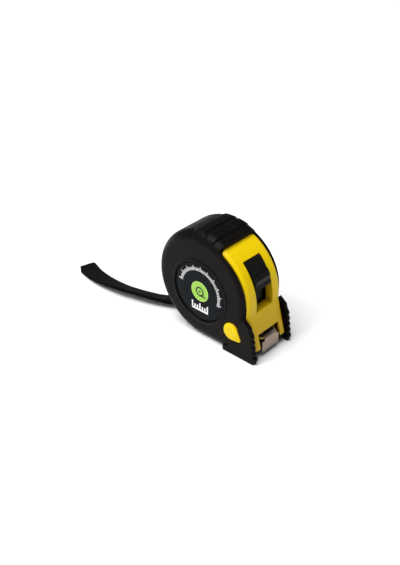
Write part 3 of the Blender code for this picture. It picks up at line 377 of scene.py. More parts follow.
def yellow_paint(name, lower_shade):
    """Yellow moulding with painted shade in its recesses; with lower_shade it also has painted shade
    darkening towards its lower end.
    """
    paint = Paint(name, 0.34, specular=0.15)
    cloud = paint.noise(60.0, 3.0)
    clean = paint.mix(cloud, (0.82, 0.590, 0.0012), (0.75, 0.525, 0.0008))
    # painted shade: the yellow turns dark brown deep in recesses and crevices, by ambient occlusion
    recess_shade = paint.span(paint.hollow(0.010), 0.30, 0.85)
    if lower_shade:
        # painted shade: the moulding darkens towards its lower end, by height
        _, _, up = paint.axes()
        height = paint.plus(up, paint.times(cloud, 0.012))
        clean = paint.mix(paint.span(height, 0.020, 0.052), (0.56, 0.350, 0.0012), clean)
    base = paint.mix(recess_shade, (0.22, 0.105, 0.003), clean)
    scuff = paint.span(paint.noise(160.0, 6.0, (1.0, 1.0, 5.0)), 0.62, 0.70)
    scuffed = paint.mix(paint.times(scuff, 0.30), base, (0.55, 0.42, 0.03))
    worn = paint.times(paint.edges(0.54, 0.66), paint.span(paint.noise(300.0, 4.0), 0.45, 0.65))
    paint.color(paint.mix(paint.times(worn, 0.45), scuffed, (0.93, 0.78, 0.16)))
    paint.rough(paint.noise(220.0, 5.0), 0.27, 0.42)
    paint.bump(paint.noise(2600.0, 2.0), 0.00003, 0.25)
    paint.bump(paint.noise(110.0, 2.0), 0.00010, 0.12)
    return paint.material


def black_paint():
    paint = Paint("black_plastic", 0.42, specular=0.12)
    cloud = paint.noise(140.0, 4.0)
    base = paint.mix(cloud, (0.0030, 0.0027, 0.0025), (0.0058, 0.0053, 0.0050))
    paint.color(paint.mix(paint.edges(0.54, 0.66), base, (0.024, 0.022, 0.021)))
    paint.rough(cloud, 0.36, 0.50)
    paint.bump(paint.noise(3000.0, 2.0), 0.00004, 0.3)
    return paint.material


def shell_paint():
    paint = Paint("shell_plastic", 0.50, specular=0.25)
    cloud = paint.noise(120.0, 4.0)
    paint.color(paint.mix(cloud, (0.0052, 0.0050, 0.0050), (0.0100, 0.0096, 0.0094)))
    paint.rough(cloud, 0.44, 0.58)
    paint.bump(paint.cells(2600.0), 0.00004, 0.3)
    return paint.material


def plain_paint(name, roughness, specular, cloud_scale, low, high, grain_scale):
    """Plain moulding: a faint cloud in its color and a fine grain."""
    paint = Paint(name, roughness, specular=specular)
    cloud = paint.noise(cloud_scale, 3.0)
    paint.color(paint.mix(cloud, low, high))
    paint.bump(paint.noise(grain_scale, 2.0), 0.00003, 0.3)
    return paint.material


def label_paint():
    """Near-black film with a fine blue-grey dot screen."""
    paint = Paint("label_film", 0.34, specular=0.03)
    x, _, z = paint.axes()
    pitch = 2 * pi / DOT_PITCH
    row = paint.math("SINE", paint.times(x, pitch))
    column = paint.math("SINE", paint.times(z, pitch))
    dots = paint.span(paint.times(row, column), 0.25, 0.65)
    ground = paint.mix(paint.noise(200.0, 3.0), (0.0010, 0.0011, 0.0013), (0.0018, 0.0020, 0.0024))
    paint.color(paint.mix(dots, ground, (0.030, 0.038, 0.046)))
    paint.rough(paint.noise(300.0, 5.0), 0.22, 0.36)
    paint.bump(dots, 0.00002, 0.4)
    return paint.material


def print_paint(name, low, high):
    paint = Paint(name, 0.38, specular=0.4)
    ink = paint.noise(1400.0, 4.0)
    paint.color(paint.mix(ink, low, high))
    paint.rough(ink, 0.32, 0.46)
    paint.bump(ink, 0.00002, 0.3)
    return paint.material


def steel_paint(name, tint, along, roughness):
    """Plated steel with fine brush marks along one axis and painted shade in its hollows."""
    paint = Paint(name, roughness, metallic=1.0)
    stretch = [1.0, 1.0, 1.0]
    stretch["xyz".index(along)] = 0.03
    brush = paint.noise(2400.0, 4.0, stretch)
    stain = paint.noise(130.0, 4.0)
    dark = tuple(value * 0.78 for value in tint)
    bright = tuple(min(value * 1.15, 1.0) for value in tint)
    # painted shade: the steel turns near-black deep in hollows, by ambient occlusion
    unshaded_share = paint.span(paint.hollow(0.008), 0.35, 0.8)
    base = paint.mix(unshaded_share, (0.05, 0.04, 0.035), paint.mix(stain, dark, tint))
    paint.color(paint.mix(paint.times(brush, 0.5), base, bright))
    paint.rough(brush, roughness - 0.06, roughness + 0.10)
    paint.bump(brush, 0.00002, 0.35)
    return paint.material


def blade_paint():
    """Yellow lacquer with millimetre, half-centimetre and centimetre lines along both edges."""
    paint = Paint("blade_lacquer", 0.34, specular=0.5)
    x, y, _ = paint.axes()
    edge = paint.math("ABSOLUTE", y)
    marks = 0.0
    for pitch, width, reach in ((0.001, 0.16, 0.0058), (0.005, 0.045, 0.0044), (0.010, 0.030, 0.0022)):
        share = paint.math("FRACT", paint.math("DIVIDE", paint.plus(x, 1.0), pitch))
        line = paint.math("LESS_THAN", share, width)
        inside = paint.math("GREATER_THAN", edge, reach)
        marks = paint.math("MAXIMUM", marks, paint.times(line, inside))
    cloud = paint.noise(80.0, 3.0)
    base = paint.mix(cloud, (0.80, 0.60, 0.03), (0.86, 0.66, 0.05))
    paint.color(paint.mix(marks, base, (0.010, 0.010, 0.010)))
    paint.rough(paint.noise(500.0, 4.0), 0.28, 0.42)
    paint.bump(paint.noise(1500.0, 2.0), 0.00002, 0.2)
    return paint.material


def coil_paint():
    """Edges of the wound blade: fine rings of lacquer and steel."""
    paint = Paint("coil_edge", 0.4, specular=0.4)
    x, _, z = paint.axes()
    up = paint.math("SUBTRACT", z, REEL_Z)
    squares = paint.plus(paint.times(x, x), paint.times(up, up))
    radius = paint.math("SQRT", squares)
    turns = paint.math("SINE", paint.times(radius, 2 * pi / 0.00032))
    paint.color(paint.mix(paint.span(turns, -1.0, 1.0), (0.30, 0.24, 0.05), (0.80, 0.62, 0.05)))
    paint.bump(turns, 0.00004, 0.5)
    return paint.material


def webbing_paint():
    """Twill weave laid out along the strap's own length and width."""
    paint = Paint("webbing", 0.82, specular=0.04)
    across, along, _ = paint.axes(paint.nodes.new("ShaderNodeUVMap").outputs[0])
    warp = paint.math("SINE", paint.times(across, 2 * pi / 0.085))
    lean = paint.plus(paint.times(along, 2 * pi / 0.11),
                      paint.times(across, 2 * pi / 0.17))
    weft = paint.math("SINE", lean)
    weave = paint.times(paint.math("ABSOLUTE", warp), paint.math("ABSOLUTE", weft))
    fibre = paint.noise(2400.0, 4.0)
    thread = paint.mix(weave, (0.0020, 0.0018, 0.0016), (0.0095, 0.0086, 0.0080))
    paint.color(paint.mix(paint.times(fibre, 0.35), thread, (0.015, 0.014, 0.013)))
    paint.rough(fibre, 0.74, 0.92)
    paint.bump(weave, 0.00016, 0.7)
    paint.bump(fibre, 0.00004, 0.3)
    return paint.material


PAINTS = {
    "floor": floor_paint(),
    "rubber": rubber_paint(),
    "yellow": yellow_paint("yellow_plastic", True),
    "button_yellow": yellow_paint("button_plastic", False),
    "black_plastic": black_paint(),
    "shell": shell_paint(),
    "reel": plain_paint("reel_plastic", 0.45, 0.35, 150.0, (0.030, 0.030, 0.033), (0.046, 0.046, 0.050),
                        2200.0),
    "label": label_paint(),
    "white_ink": print_paint("white_ink", (0.80, 0.80, 0.80), (0.90, 0.90, 0.90)),
    "green_ink": print_paint("green_ink", (0.25, 0.52, 0.04), (0.32, 0.60, 0.06)),
    "pale_green_ink": print_paint("pale_green_ink", (0.42, 0.68, 0.12), (0.48, 0.74, 0.16)),
    "dark_ink": print_paint("dark_ink", (0.006, 0.010, 0.006), (0.010, 0.014, 0.010)),
    "hook_steel": steel_paint("hook_steel", (0.32, 0.245, 0.20), "z", 0.42),
    "steel": steel_paint("steel", (0.60, 0.57, 0.53), "z", 0.30),
    "blade": blade_paint(),
    "coil": coil_paint(),
    "nylon": plain_paint("nylon", 0.5, 0.4, 160.0, (0.50, 0.50, 0.46), (0.58, 0.58, 0.54), 1800.0),
    "webbing": webbing_paint(),
}


# ======== mesh helpers
def from_bmesh(name, shape, paint, sharp=None):
    bmesh.ops.recalc_face_normals(shape, faces=shape.faces)
    mesh = bpy.data.meshes.new(name)
    shape.to_mesh(mesh)
    shape.free()
    mesh.shade_smooth()
    if sharp:
        mesh.set_sharp_from_angle(angle=radians(sharp))
    made = bpy.data.objects.new(name, mesh)
    bpy.context.scene.collection.objects.link(made)
    if paint:
        mesh.materials.append(PAINTS[paint])
    return made


def freeze(piece, sharp=None):
    """Applies every modifier and clears the helpers that they used."""
    helpers = [step.object for step in piece.modifiers if step.type == "BOOLEAN"]
    graph = bpy.context.evaluated_depsgraph_get()
    mesh = bpy.data.meshes.new_from_object(piece.evaluated_get(graph))
    old = piece.data
    mesh.name = piece.name
    piece.modifiers.clear()
    piece.data = mesh
    bpy.data.meshes.remove(old)
    for helper in helpers:
        bpy.data.objects.remove(helper, do_unlink=True)
    mesh.shade_smooth()
    if sharp:
        mesh.set_sharp_from_angle(angle=radians(sharp))
    return piece


def tool(target, shape, operation="DIFFERENCE"):
    helper = from_bmesh("tool", shape, None)
    step = target.modifiers.new("step", "BOOLEAN")
    step.operation = operation
    step.object = helper
    step.solver = "EXACT"
    return target


def moulded(piece, voxel, smooth=3, keep=1.0):
    """Remeshes the piece finely and softens its edges, as a moulding's are."""
    freeze(piece)
    remesh = piece.modifiers.new("remesh", "REMESH")
    remesh.mode = "VOXEL"
    remesh.voxel_size = voxel
    remesh.use_smooth_shade = True
    soften = piece.modifiers.new("soften", "SMOOTH")
    soften.factor = 0.5
    soften.iterations = smooth
    if keep < 1.0:
        thin = piece.modifiers.new("thin", "DECIMATE")
        thin.ratio = keep
    return freeze(piece)


def bevelled(piece, width):
    step = piece.modifiers.new("bevel", "BEVEL")
    step.width = width
    step.segments = 3
    step.limit_method = "ANGLE"
    step.angle_limit = radians(50.0)
    step.harden_normals = False
    return freeze(piece, 40.0)


def strip_faces(shape, near, far):
    """Faces between two neighbouring lines of corners."""
    for a, b, c, d in zip(near, near[1:], far[1:], far):
        shape.faces.new((a, b, c, d))


def thickened(piece, thickness):
    step = piece.modifiers.new("thick", "SOLIDIFY")
    step.thickness = thickness
    step.offset = 0.0
    return freeze(piece)


def loft(sections, closed=False):
    shape = bmesh.new()
    rings = [[shape.verts.new(point) for point in ring] for ring in sections]
    count = len(rings[0])
    pairs = list(zip(rings, rings[1:]))
    if closed:
        pairs.append((rings[-1], rings[0]))
    for near, far in pairs:
        for i in range(count):
            j = (i + 1) % count
            shape.faces.new((near[i], near[j], far[j], far[i]))
    if not closed:
        shape.faces.new(list(reversed(rings[0])))
        shape.faces.new(rings[-1])
    return shape


def slab(outline, low_y, high_y):
    return loft([[(x, y, z) for x, z in outline] for y in (low_y, high_y)])


def box(low, high):
    outline = ((low[0], low[2]), (high[0], low[2]), (high[0], high[2]), (low[0], high[2]))
    return slab(outline, low[1], high[1])


def arc(center_x, center_z, radius, start, end, steps):
    return [(center_x + radius * cos(start + (end - start) * i / steps),
             center_z + radius * sin(start + (end - start) * i / steps)) for i in range(steps + 1)]


def circle(center_x, center_z, radius, steps=64):
    return arc(center_x, center_z, radius, 0.0, 2 * pi, steps)[:-1]


def disc(center_x, center_z, radius, low_y, high_y, steps=64):
    return slab(circle(center_x, center_z, radius, steps), low_y, high_y)


def turned(profile, center_x, center_z, steps=96):
    """A ring about an axis along Y. The profile is a closed loop of (radius, y)."""
    sections = []
    for i in range(steps):
        turn = 2 * pi * i / steps
        across, up = cos(turn), sin(turn)
        sections.append([(center_x + r * across, y, center_z + r * up) for r, y in profile])
    return loft(sections, closed=True)


def stacked(profile, center, axis="y", steps=40):
    """A solid of revolution from a list of (height, radius), ends closed, along Y or Z."""
    rings = []
    for height, radius in profile:
        ring = circle(0.0, 0.0, radius, steps)
        if axis == "y":
            rings.append([(center[0] + a, height, center[1] + b) for a, b in ring])
        else:
            rings.append([(center[0] + a, center[1] + b, height) for a, b in ring])
    return loft(rings)


def polar(radius, turn):
    return radius * cos(turn), REEL_Z + radius * sin(turn)


def sector(inner_r, outer_r, start, end, steps=40):
    outside = [polar(outer_r, start + (end - start) * i / steps) for i in range(steps + 1)]
    inside = [polar(inner_r, end + (start - end) * i / steps) for i in range(steps + 1)]
    return outside + inside


# ======== the case's form
def chin_line(inset):
    up = Vector((-sin(CHIN_LEAN), cos(CHIN_LEAN)))
    inwards = Vector((-cos(CHIN_LEAN), -sin(CHIN_LEAN)))
    return Vector((CHIN_X, CHIN_Z)) + inwards * inset, up


def knee_turn(circle_of, inset):
    point, up = chin_line(inset)
    radius = circle_of[2] - inset
    offset = point - Vector(circle_of[:2])
    along = offset.dot(up)
    reach = sqrt(max(radius * radius - offset.length_squared + along * along, 0.0))
    hits = [offset + up * (-along + side * reach) for side in (-1, 1)]
    lowest = min(hits, key=lambda hit: abs(atan2(hit.y, hit.x) + 0.1))
    return atan2(lowest.y, lowest.x)


def meeting_turns(inset):
    front, body = Vector(FRONT[:2]), Vector(BODY[:2])
    r_front, r_body = FRONT_R - inset, BODY_R - inset
    apart = body - front
    d = apart.length
    along = (r_front ** 2 - r_body ** 2 + d * d) / (2 * d)
    side = sqrt(max(r_front ** 2 - along ** 2, 0.0))
    ahead = apart.normalized()
    crossing = front + ahead * along + Vector((-ahead.y, ahead.x)) * side
    about_front, about_body = crossing - front, crossing - body
    return atan2(about_front.y, about_front.x), atan2(about_body.y, about_body.x)


def outline(inset, nose, fine=96):
    """Side view of the case moved inwards by inset, anticlockwise from the chin's top."""
    body_r = BODY_R - inset
    turn_nose = turn_body = radians(150.0)
    if nose is FRONT:
        turn_nose, turn_body = meeting_turns(inset)
    points = arc(nose[0], nose[1], nose[2] - inset, knee_turn(nose, inset), turn_nose, fine)
    base_drop = asin(min((BODY_Z - inset) / body_r, 1.0))
    points += arc(BODY_X, BODY_Z, body_r, turn_body, pi + base_drop, fine)[1:]
    corner = max(CHIN_CORNER - inset, 0.0002)
    point, up = chin_line(inset + corner)
    center_z = inset + corner
    center_x = point.x + up.x * (center_z - point.y) / up.y
    start_x = points[-1][0]
    points += [(start_x + (center_x - start_x) * i / 8, inset) for i in range(1, 8)]
    points += arc(center_x, center_z, corner, -pi / 2, CHIN_LEAN, 14)
    (top_x, top_z), (last_x, last_z) = points[0], points[-1]
    points += [(last_x + (top_x - last_x) * i / 8, last_z + (top_z - last_z) * i / 8) for i in range(1, 8)]
    return points


def rounded_edge(half, radius, steps, first=1):
    """Pairs of (half width, inset) round an edge, towards the side face."""
    turns = [pi / 2 * i / steps for i in range(first, steps + 1)]
    return [(half - radius * (1 - sin(turn)), radius * (1 - cos(turn))) for turn in turns]


def case_solid(inset, nose, side, end_y):
    """Half of the case's rounded form, on one side (-1 or 1), closed by a plane at end_y."""
    half = HALF_WIDTH - inset
    rounding = max(SHOULDER - inset, 0.0004)
    sections = [(end_y, inset), (side * (half - rounding), inset)]
    sections += [(side * y, inset + drop) for y, drop in rounded_edge(half, rounding, 10)]
    return loft([[(x, y, z) for x, z in outline(step, nose)] for y, step in sections])


def face_y(side, depth):
    return side * (HALF_WIDTH - depth)


def band(side, start, end):
    """A raised cross band with soft ramps, from the parting plane down over the shoulder."""
    sections = [(PARTING_Y + side * GAP / 2, -BAND_HEIGHT), (side * (HALF_WIDTH - SHOULDER), -BAND_HEIGHT)]
    for i in range(1, 13):
        turn = pi / 2 * i / 12
        rise = BAND_HEIGHT * cos(turn)
        y = HALF_WIDTH - SHOULDER * (1 - sin(turn))
        sections.append((side * y, SHOULDER * (1 - cos(turn)) - rise))
    ramp = BAND_RAMP / BODY_R
    rings = []
    for y, inset in sections:
        ring = arc(BODY_X, BODY_Z, BODY_R - inset, radians(start), radians(end), 12)
        low_r = BODY_R - inset - 2 * BAND_HEIGHT
        ring += arc(BODY_X, BODY_Z, low_r, radians(end) + 2 * ramp, radians(start) - ramp, 12)
        rings.append([(x, y, z) for x, z in ring])
    return loft(rings)


def foot_outline(inset):
    """Side view of a foot with rounded ribs down its front."""
    front = FOOT_FRONT_X + SLIDE_GAP - RIB_DEPTH
    points = [(FOOT_BACK_X + inset, 0.0), (front - inset, 0.0)]
    for i in range(RIB_COUNT * 10):
        share = (i % 10) / 10
        rise = (i // 10 + share) * RIB_PITCH
        bump = sqrt(max(sin(pi * share), 0.0))
        points.append((front + RIB_DEPTH * bump - rise * tan(CHIN_LEAN) / 2 - inset, RIB_BASE_Z + rise))
    top_z = RIB_BASE_Z + RIB_COUNT * RIB_PITCH
    points.append((HOOK_X - 0.0005 - inset, top_z + 0.0008))
    points.append((HOOK_X - 0.0010 - inset, top_z + 0.0034))
    points.append((CHIN_X - 0.0015 - inset / 2, CHIN_Z - 0.0004))
    points.append((CHIN_X - 0.0045, top_z + 0.0010))
    points.append((CHIN_X - 0.0078, RIB_BASE_Z + 2 * RIB_PITCH))
    points.append((FOOT_BACK_X + RIB_PITCH + inset / 2, 0.0040))
    points.append((FOOT_BACK_X + inset, 0.0032))
    return points


def foot(side):
    edge = FOOT_SIDE_EDGE
    sections = [(FOOT_INNER_Y, 0.0), (FOOT_OUTER_Y - edge, 0.0), (FOOT_OUTER_Y - edge / 3, edge / 3),
                (FOOT_OUTER_Y, edge)]
    return loft([[(x, side * y, z) for x, z in foot_outline(inset)] for y, inset in sections])


def window_prism(grow, low):
    """The bezel's field as a prism: a rectangle with rounded top corners, looking 30 degrees down."""
    tilt = radians(30.0)
    out = Vector((cos(tilt), 0.0, sin(tilt)))
    up = Vector((-sin(tilt), 0.0, cos(tilt)))
    top_x, top_z = polar(FRONT_R, WINDOW_TOP)
    top = up.x * top_x + up.z * top_z + grow
    half = BEZEL_HALF + grow
    corner = WINDOW_CORNER + grow
    field = [(half, low)] + arc(half - corner, top - corner, corner, 0.0, pi / 2, 14)
    field += [(-y, s) for y, s in reversed(field)]
    axis_y = Vector((0.0, 1.0, 0.0))
    reaches = (WINDOW_DEPTH_FROM, 2 * FAR)
    return loft([[axis_y * y + up * s + out * reach for y, s in field] for reach in reaches])


def teardrop(grow, steps=48):
    round_r, tip_r = BUTTON_R + grow, max(BUTTON_TIP_R + grow, 0.00008)
    apart = BUTTON_LENGTH - BUTTON_TIP_R
    spread = acos((round_r - tip_r) / apart)
    tip_x = BUTTON_X + apart * cos(BUTTON_LEAN)
    tip_z = BUTTON_Z + apart * sin(BUTTON_LEAN)
    points = arc(BUTTON_X, BUTTON_Z, round_r, BUTTON_LEAN + spread, BUTTON_LEAN + 2 * pi - spread, steps)
    return points + arc(tip_x, tip_z, tip_r, BUTTON_LEAN - spread, BUTTON_LEAN + spread, 12)


# ======== pieces
def dress(piece, body, slot, *nodes):
    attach(piece, body)
    if nodes:
        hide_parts(*nodes)
    return piece


def jacket(name, side, node):
    piece = from_bmesh(name, case_solid(0.0, BODY, side, PARTING_Y + side * GAP / 2), "rubber")
    for start, end in BANDS:
        tool(piece, band(side, start, end), "UNION")
    tool(piece, foot(side), "UNION")
    sunk, edge = face_y(side, SLIDE_GAP * 2), face_y(side, -RING_HEIGHT / 2)
    ring = [(RING_R - GAP, sunk), (RING_R + RING_WIDTH, sunk)]
    for share in (0.92, 0.78, 0.62, 0.45, 0.28, 0.12, 0.0):
        crest = RING_HEIGHT * sin(pi * (0.12 + 0.88 * share))
        ring.append((RING_R + RING_WIDTH * share, face_y(side, -crest)))
    ring.append((RING_R - GAP, edge))
    tool(piece, turned(ring, 0.0, REEL_Z, 120), "UNION")
    tool(piece, case_solid(COVER, FRONT, side, -side * FAR))
    tool(piece, disc(0.0, REEL_Z, RING_R, *sorted((0.0, side * FAR)), steps=150))
    tool(piece, window_prism(GAP, WINDOW_SPLIT))
    half = BEZEL_HALF + GAP
    tool(piece, box((CHIN_X - BEZEL_DEPTH - COVER, -half, BEZEL_FOOT_Z - GAP), (FAR, half, CHIN_Z + COVER)))
    rim_r = FRONT_R - RIM_DROP
    knee = knee_turn(FRONT, 0.0)
    rim = [polar(rim_r, knee + (WINDOW_TOP - knee) * i / 48) for i in range(49)]
    tool(piece, slab(rim + [polar(FAR, WINDOW_TOP), polar(FAR, knee)], -FAR, FAR))
    recess = RECESS_HALF + GAP
    tool(piece, box((MOUTH_BACK_X - GAP, -recess, -COVER), (FAR, recess, CHIN_Z)))
    notch = NOTCH_HALF + NOTCH_WALL + GAP
    tool(piece, disc(PIN_X, PIN_Z, NOTCH_R + NOTCH_WALL + GAP, -notch, notch))
    if side < 0:
        tool(piece, slab(teardrop(GAP), -FAR, -CAVITY_HALF))
    else:
        for x, z in SCREW_SPOTS:
            tool(piece, disc(x, z, SCREW_HEAD_R + GAP, 0.0, FAR, 40))
        tool(piece, disc(0.0, CLIP_SCREW_Z, CLIP_HOLE_R, 0.0, FAR, 40))
    moulded(piece, 0.00030, 3, 0.4)
    return dress(piece, "case", "rubber", node)


def bezel_solid():
    sections = []
    for side in (-1, 1):
        row = [(side * y, drop) for y, drop in rounded_edge(BEZEL_HALF, BEZEL_CORNER, 12, 0)]
        sections += list(reversed(row)) if side < 0 else row
    return loft([[(x, y, z) for x, z in outline(inset, FRONT)] for y, inset in sections])


def bezel():
    piece = from_bmesh("bezel", bezel_solid(), "yellow")
    tool(piece, case_solid(COVER, FRONT, -1, FAR))
    tool(piece, case_solid(COVER, FRONT, 1, -FAR))
    tool(piece, window_prism(0.0, -FAR), "INTERSECT")
    knee = knee_turn(FRONT, 0.0)
    keep = [polar(FRONT_R - BEZEL_DEPTH, knee + (WINDOW_TOP + 0.05 - knee) * i / 60) for i in range(61)]
    low, up = chin_line(BEZEL_DEPTH)
    keep += [polar(FAR, WINDOW_TOP), (FAR, BEZEL_FOOT_Z),
             (low.x + up.x * (BEZEL_FOOT_Z - low.y) / up.y, BEZEL_FOOT_Z)]
    tool(piece, slab(keep, -FAR, FAR), "INTERSECT")
    wall = COLLAR_WALL / FRONT_R
    collar = sector(COLLAR_R, FRONT_R - COVER / 2, SLOT_BOTTOM - wall, SLOT_TOP + wall)
    tool(piece, slab(collar, -SLOT_HALF - COLLAR_WALL, SLOT_HALF + COLLAR_WALL), "UNION")
    tool(piece, slab(sector(COLLAR_R - COVER, FRONT_R + COVER, SLOT_BOTTOM, SLOT_TOP), -SLOT_HALF, SLOT_HALF))
    tool(piece, box((MOUTH_BACK_X, -RECESS_HALF, 0.0), (FAR, RECESS_HALF, MOUTH_TOP)))
    moulded(piece, 0.00022, 2, 0.5)
    return dress(piece, "case", "yellow", "front_bezel")


def slider():
    """Thumb lock: a pad in the slot with a raised thumb ridge and finger grooves."""
    half = SLOT_HALF - SLIDE_GAP
    pad = slab(sector(COLLAR_R - SLIDE_GAP + GAP, FRONT_R + PAD_OUT, PAD_BOTTOM, PAD_TOP), -half, half)
    piece = from_bmesh("thumb_lock", pad, "black_plastic")
    rise = []
    for i in range(25):
        share = i / 24
        out = RIDGE_OUT * min(1.0, 1.6 * sin(pi * min(share * 1.25, 1.0) / 2))
        out *= min(1.0, (1 - share) * 3.2) ** 0.5
        rise.append(polar(FRONT_R + max(out, 0.0) * 0.98, RIDGE_FROM + (RIDGE_TO - RIDGE_FROM) * share))
    base = [polar(FRONT_R - PAD_OUT, RIDGE_TO + (RIDGE_FROM - RIDGE_TO) * i / 12) for i in range(13)]
    tool(piece, slab(rise + base, -half + 0.0006, half - 0.0006), "UNION")
    for i in range(4):
        turn = radians(36.6 + 2.3 * i)
        groove = circle(*polar(FRONT_R + PAD_OUT + 0.0001, turn), 0.0003, 16)
        tool(piece, slab(groove, -half + 0.0010, half - 0.0010))
    moulded(piece, 0.00013, 2, 0.5)
    return dress(piece, "lock", "black_plastic", "lock_slider")


def button():
    """Side button: a crowned teardrop with a fine groove just inside its edge."""
    crown_y = face_y(-1, -BUTTON_OUT)
    depths = [(0.00018, -0.0045), (0.00008, -0.0036), (0.0, -0.0026), (0.00002, -0.0017),
              (0.00016, -0.00145), (0.00018, -0.00125), (0.00010, -0.00105), (0.00022, -0.0007),
              (0.00045, -0.00035), (0.00080, -0.00010), (0.0012, 0.0)]
    sections = [(crown_y + depth, grow) for depth, grow in depths] + [(-CAVITY_HALF, 0.0)]
    rings = [[(x, y, z) for x, z in teardrop(grow)] for y, grow in sections]
    piece = from_bmesh("side_button", loft(rings), "button_yellow")
    return dress(piece, "stop", "yellow", "stop_button")


def blade_height(y, rise=0.0):
    share = y / BLADE_HALF
    return BLADE_TOP_Z + BLADE_CURL * share * share + rise


def hook():
    """Pressed steel hook: a curled tab over the blade, a rounded bend and a wider plate."""
    bend = HOOK_T * 1.1
    start = RIVET_X - RIVET_HEAD_R - HOOK_PLAY - SLIDE_GAP
    face_x = HOOK_X + HOOK_T / 2
    shoulder_z = BLADE_TOP_Z + HOOK_LIFT + HOOK_T - HOOK_NECK
    wing = [HOOK_HALF - HOOK_CORNER * (1 - sin(radians(15 * i))) for i in range(1, 7)]
    wing = [TAB_HALF + (wing[0] - TAB_HALF) / 2] + wing
    middle = [TAB_HALF * (i / 12 - 1) for i in range(25)]
    shape = bmesh.new()
    lines = []
    for y in [-y for y in reversed(wing)] + middle + wing:
        beyond = max(abs(y) - (HOOK_HALF - HOOK_CORNER), 0.0)
        low = HOOK_LOW_Z + HOOK_CORNER - sqrt(max(HOOK_CORNER ** 2 - beyond ** 2, 0.0))
        low += 0.0005 * (1 - (y / HOOK_HALF) ** 2)
        high = shoulder_z - 0.35 * (HOOK_CORNER - sqrt(max(HOOK_CORNER ** 2 - beyond ** 2, 0.0)))
        line = [(face_x, high + (low - high) * k / 12) for k in range(13)]
        if abs(y) < TAB_HALF + GAP / 10:
            top = blade_height(y, HOOK_LIFT + HOOK_T / 2)
            tab = [(start + (face_x - bend - start) * k / 10, top) for k in range(10)]
            tab += arc(face_x - bend, top - bend, bend, pi / 2, 0.0, 8)
            line = tab + line
        lines.append([shape.verts.new((x, y, z)) for x, z in line])
    for near, far in zip(lines, lines[1:]):
        rows = min(len(near), len(far))
        strip_faces(shape, near[-rows:], far[-rows:])
    piece = thickened(from_bmesh("hook", shape, "hook_steel"), HOOK_T)
    bevelled(piece, 0.00014)
    return dress(piece, "hook", "steel", "end_hook")


def rivet(name, y, node):
    outer, inner = (abs(y) + RIVET_HEAD_R) / BLADE_HALF, (abs(y) - RIVET_HEAD_R) / BLADE_HALF
    head = BLADE_TOP_Z + BLADE_CURL * outer * outer + HOOK_LIFT + HOOK_T + GAP / 2
    tail = BLADE_TOP_Z + BLADE_CURL * inner * inner - BLADE_T - GAP / 2
    profile = [(tail - RIVET_HEAD_T, RIVET_HEAD_R * 0.7), (tail - RIVET_HEAD_T * 0.6, RIVET_HEAD_R * 0.95),
               (tail, RIVET_HEAD_R), (tail, RIVET_R), (head, RIVET_R), (head, RIVET_HEAD_R)]
    for i in range(1, 6):
        turn = pi / 2 * i / 6
        profile.append((head + RIVET_HEAD_T * sin(turn), RIVET_HEAD_R * cos(turn * 0.92)))
    piece = from_bmesh(name, stacked(profile, (RIVET_X, y), "z", 32), "steel", 50.0)
    return dress(piece, "blade", "steel", node)


def blade():
    """The lacquered blade from the coil to the hook, curling up at its edges."""
    start_x, front_x = BLADE_FREE_X / 15, HOOK_X - GAP
    rings = []
    for i in range(49):
        x = start_x + (front_x - start_x) * i / 48
        share = min((x - start_x) / (BLADE_FREE_X - start_x), 1.0)
        curl = BLADE_CURL * share * share * (3 - 2 * share)
        beyond = max(x - (front_x - BLADE_CLIP), 0.0) / BLADE_CLIP
        half = BLADE_HALF + (TAB_HALF - BLADE_HALF) * beyond
        across = [half * (k / 16 - 1) for k in range(33)]
        top = [(x, y, BLADE_TOP_Z + curl * (y / BLADE_HALF) ** 2) for y in across]
        rings.append(top + [(x, y, z - BLADE_T) for x, y, z in reversed(top)])
    piece = from_bmesh("blade", loft(rings), "blade", 40.0)
    return dress(piece, "blade", "blade", "blade_lead")


def label(name, side, node):
    outer = side * (SHELL_HALF + GAP + LABEL_T)
    inner = side * (SHELL_HALF + GAP)
    edge = 0.00025
    profile = [(inner, LABEL_R), (outer - side * edge, LABEL_R),
               (outer - side * edge * 0.3, LABEL_R - edge * 0.3), (outer, LABEL_R - edge),
               (outer, LABEL_R * 0.75), (outer, LABEL_R * 0.5), (outer, LABEL_R * 0.25)]
    piece = from_bmesh(name, stacked(profile, (0.0, REEL_Z), "y", 128), "label", 40.0)
    dress(piece, "case", "label", node)
    for suffix, paint, shapes in prints():
        for shape in shapes:
            ink = raised([(side * -x, z) for x, z in shape], outer, side)
            join_into(f"{name}_{suffix}", ink, paint)


INKS = {}


def join_into(name, shape, paint):
    """Collects the shapes of one ink into one mesh."""
    if name not in INKS:
        INKS[name] = (bmesh.new(), paint)
    whole = INKS[name][0]
    mesh = bpy.data.meshes.new("part")
    shape.to_mesh(mesh)
    shape.free()
    whole.from_mesh(mesh)
    bpy.data.meshes.remove(mesh)


def lay_inks():
    for name, (shape, paint) in INKS.items():
        piece = from_bmesh(name, shape, paint, 30.0)
        dress(piece, "case", "label")


def raised(points, outer, side):
    """A thin flat shape on the label, with (x, z) about the label's middle."""
    return slab([(x, REEL_Z + z) for x, z in points], outer - side * INK_T, outer + side * INK_T)


def stroke(ax, az, bx, bz, width):
    """Outline of a straight bar between two points."""
    ahead = Vector((bx - ax, bz - az)).normalized() * width / 2
    return [(ax - ahead.y, az + ahead.x), (ax + ahead.y, az - ahead.x),
            (bx + ahead.y, bz - ahead.x), (bx - ahead.y, bz + ahead.x)]


def ring_shape(radius, width, start, end, steps=48):
    """Outline of a ring's piece, in degrees."""
    a, b = radians(start), radians(end)
    return arc(0, 0, radius + width / 2, a, b, steps) + arc(0, 0, radius - width / 2, b, a, steps)


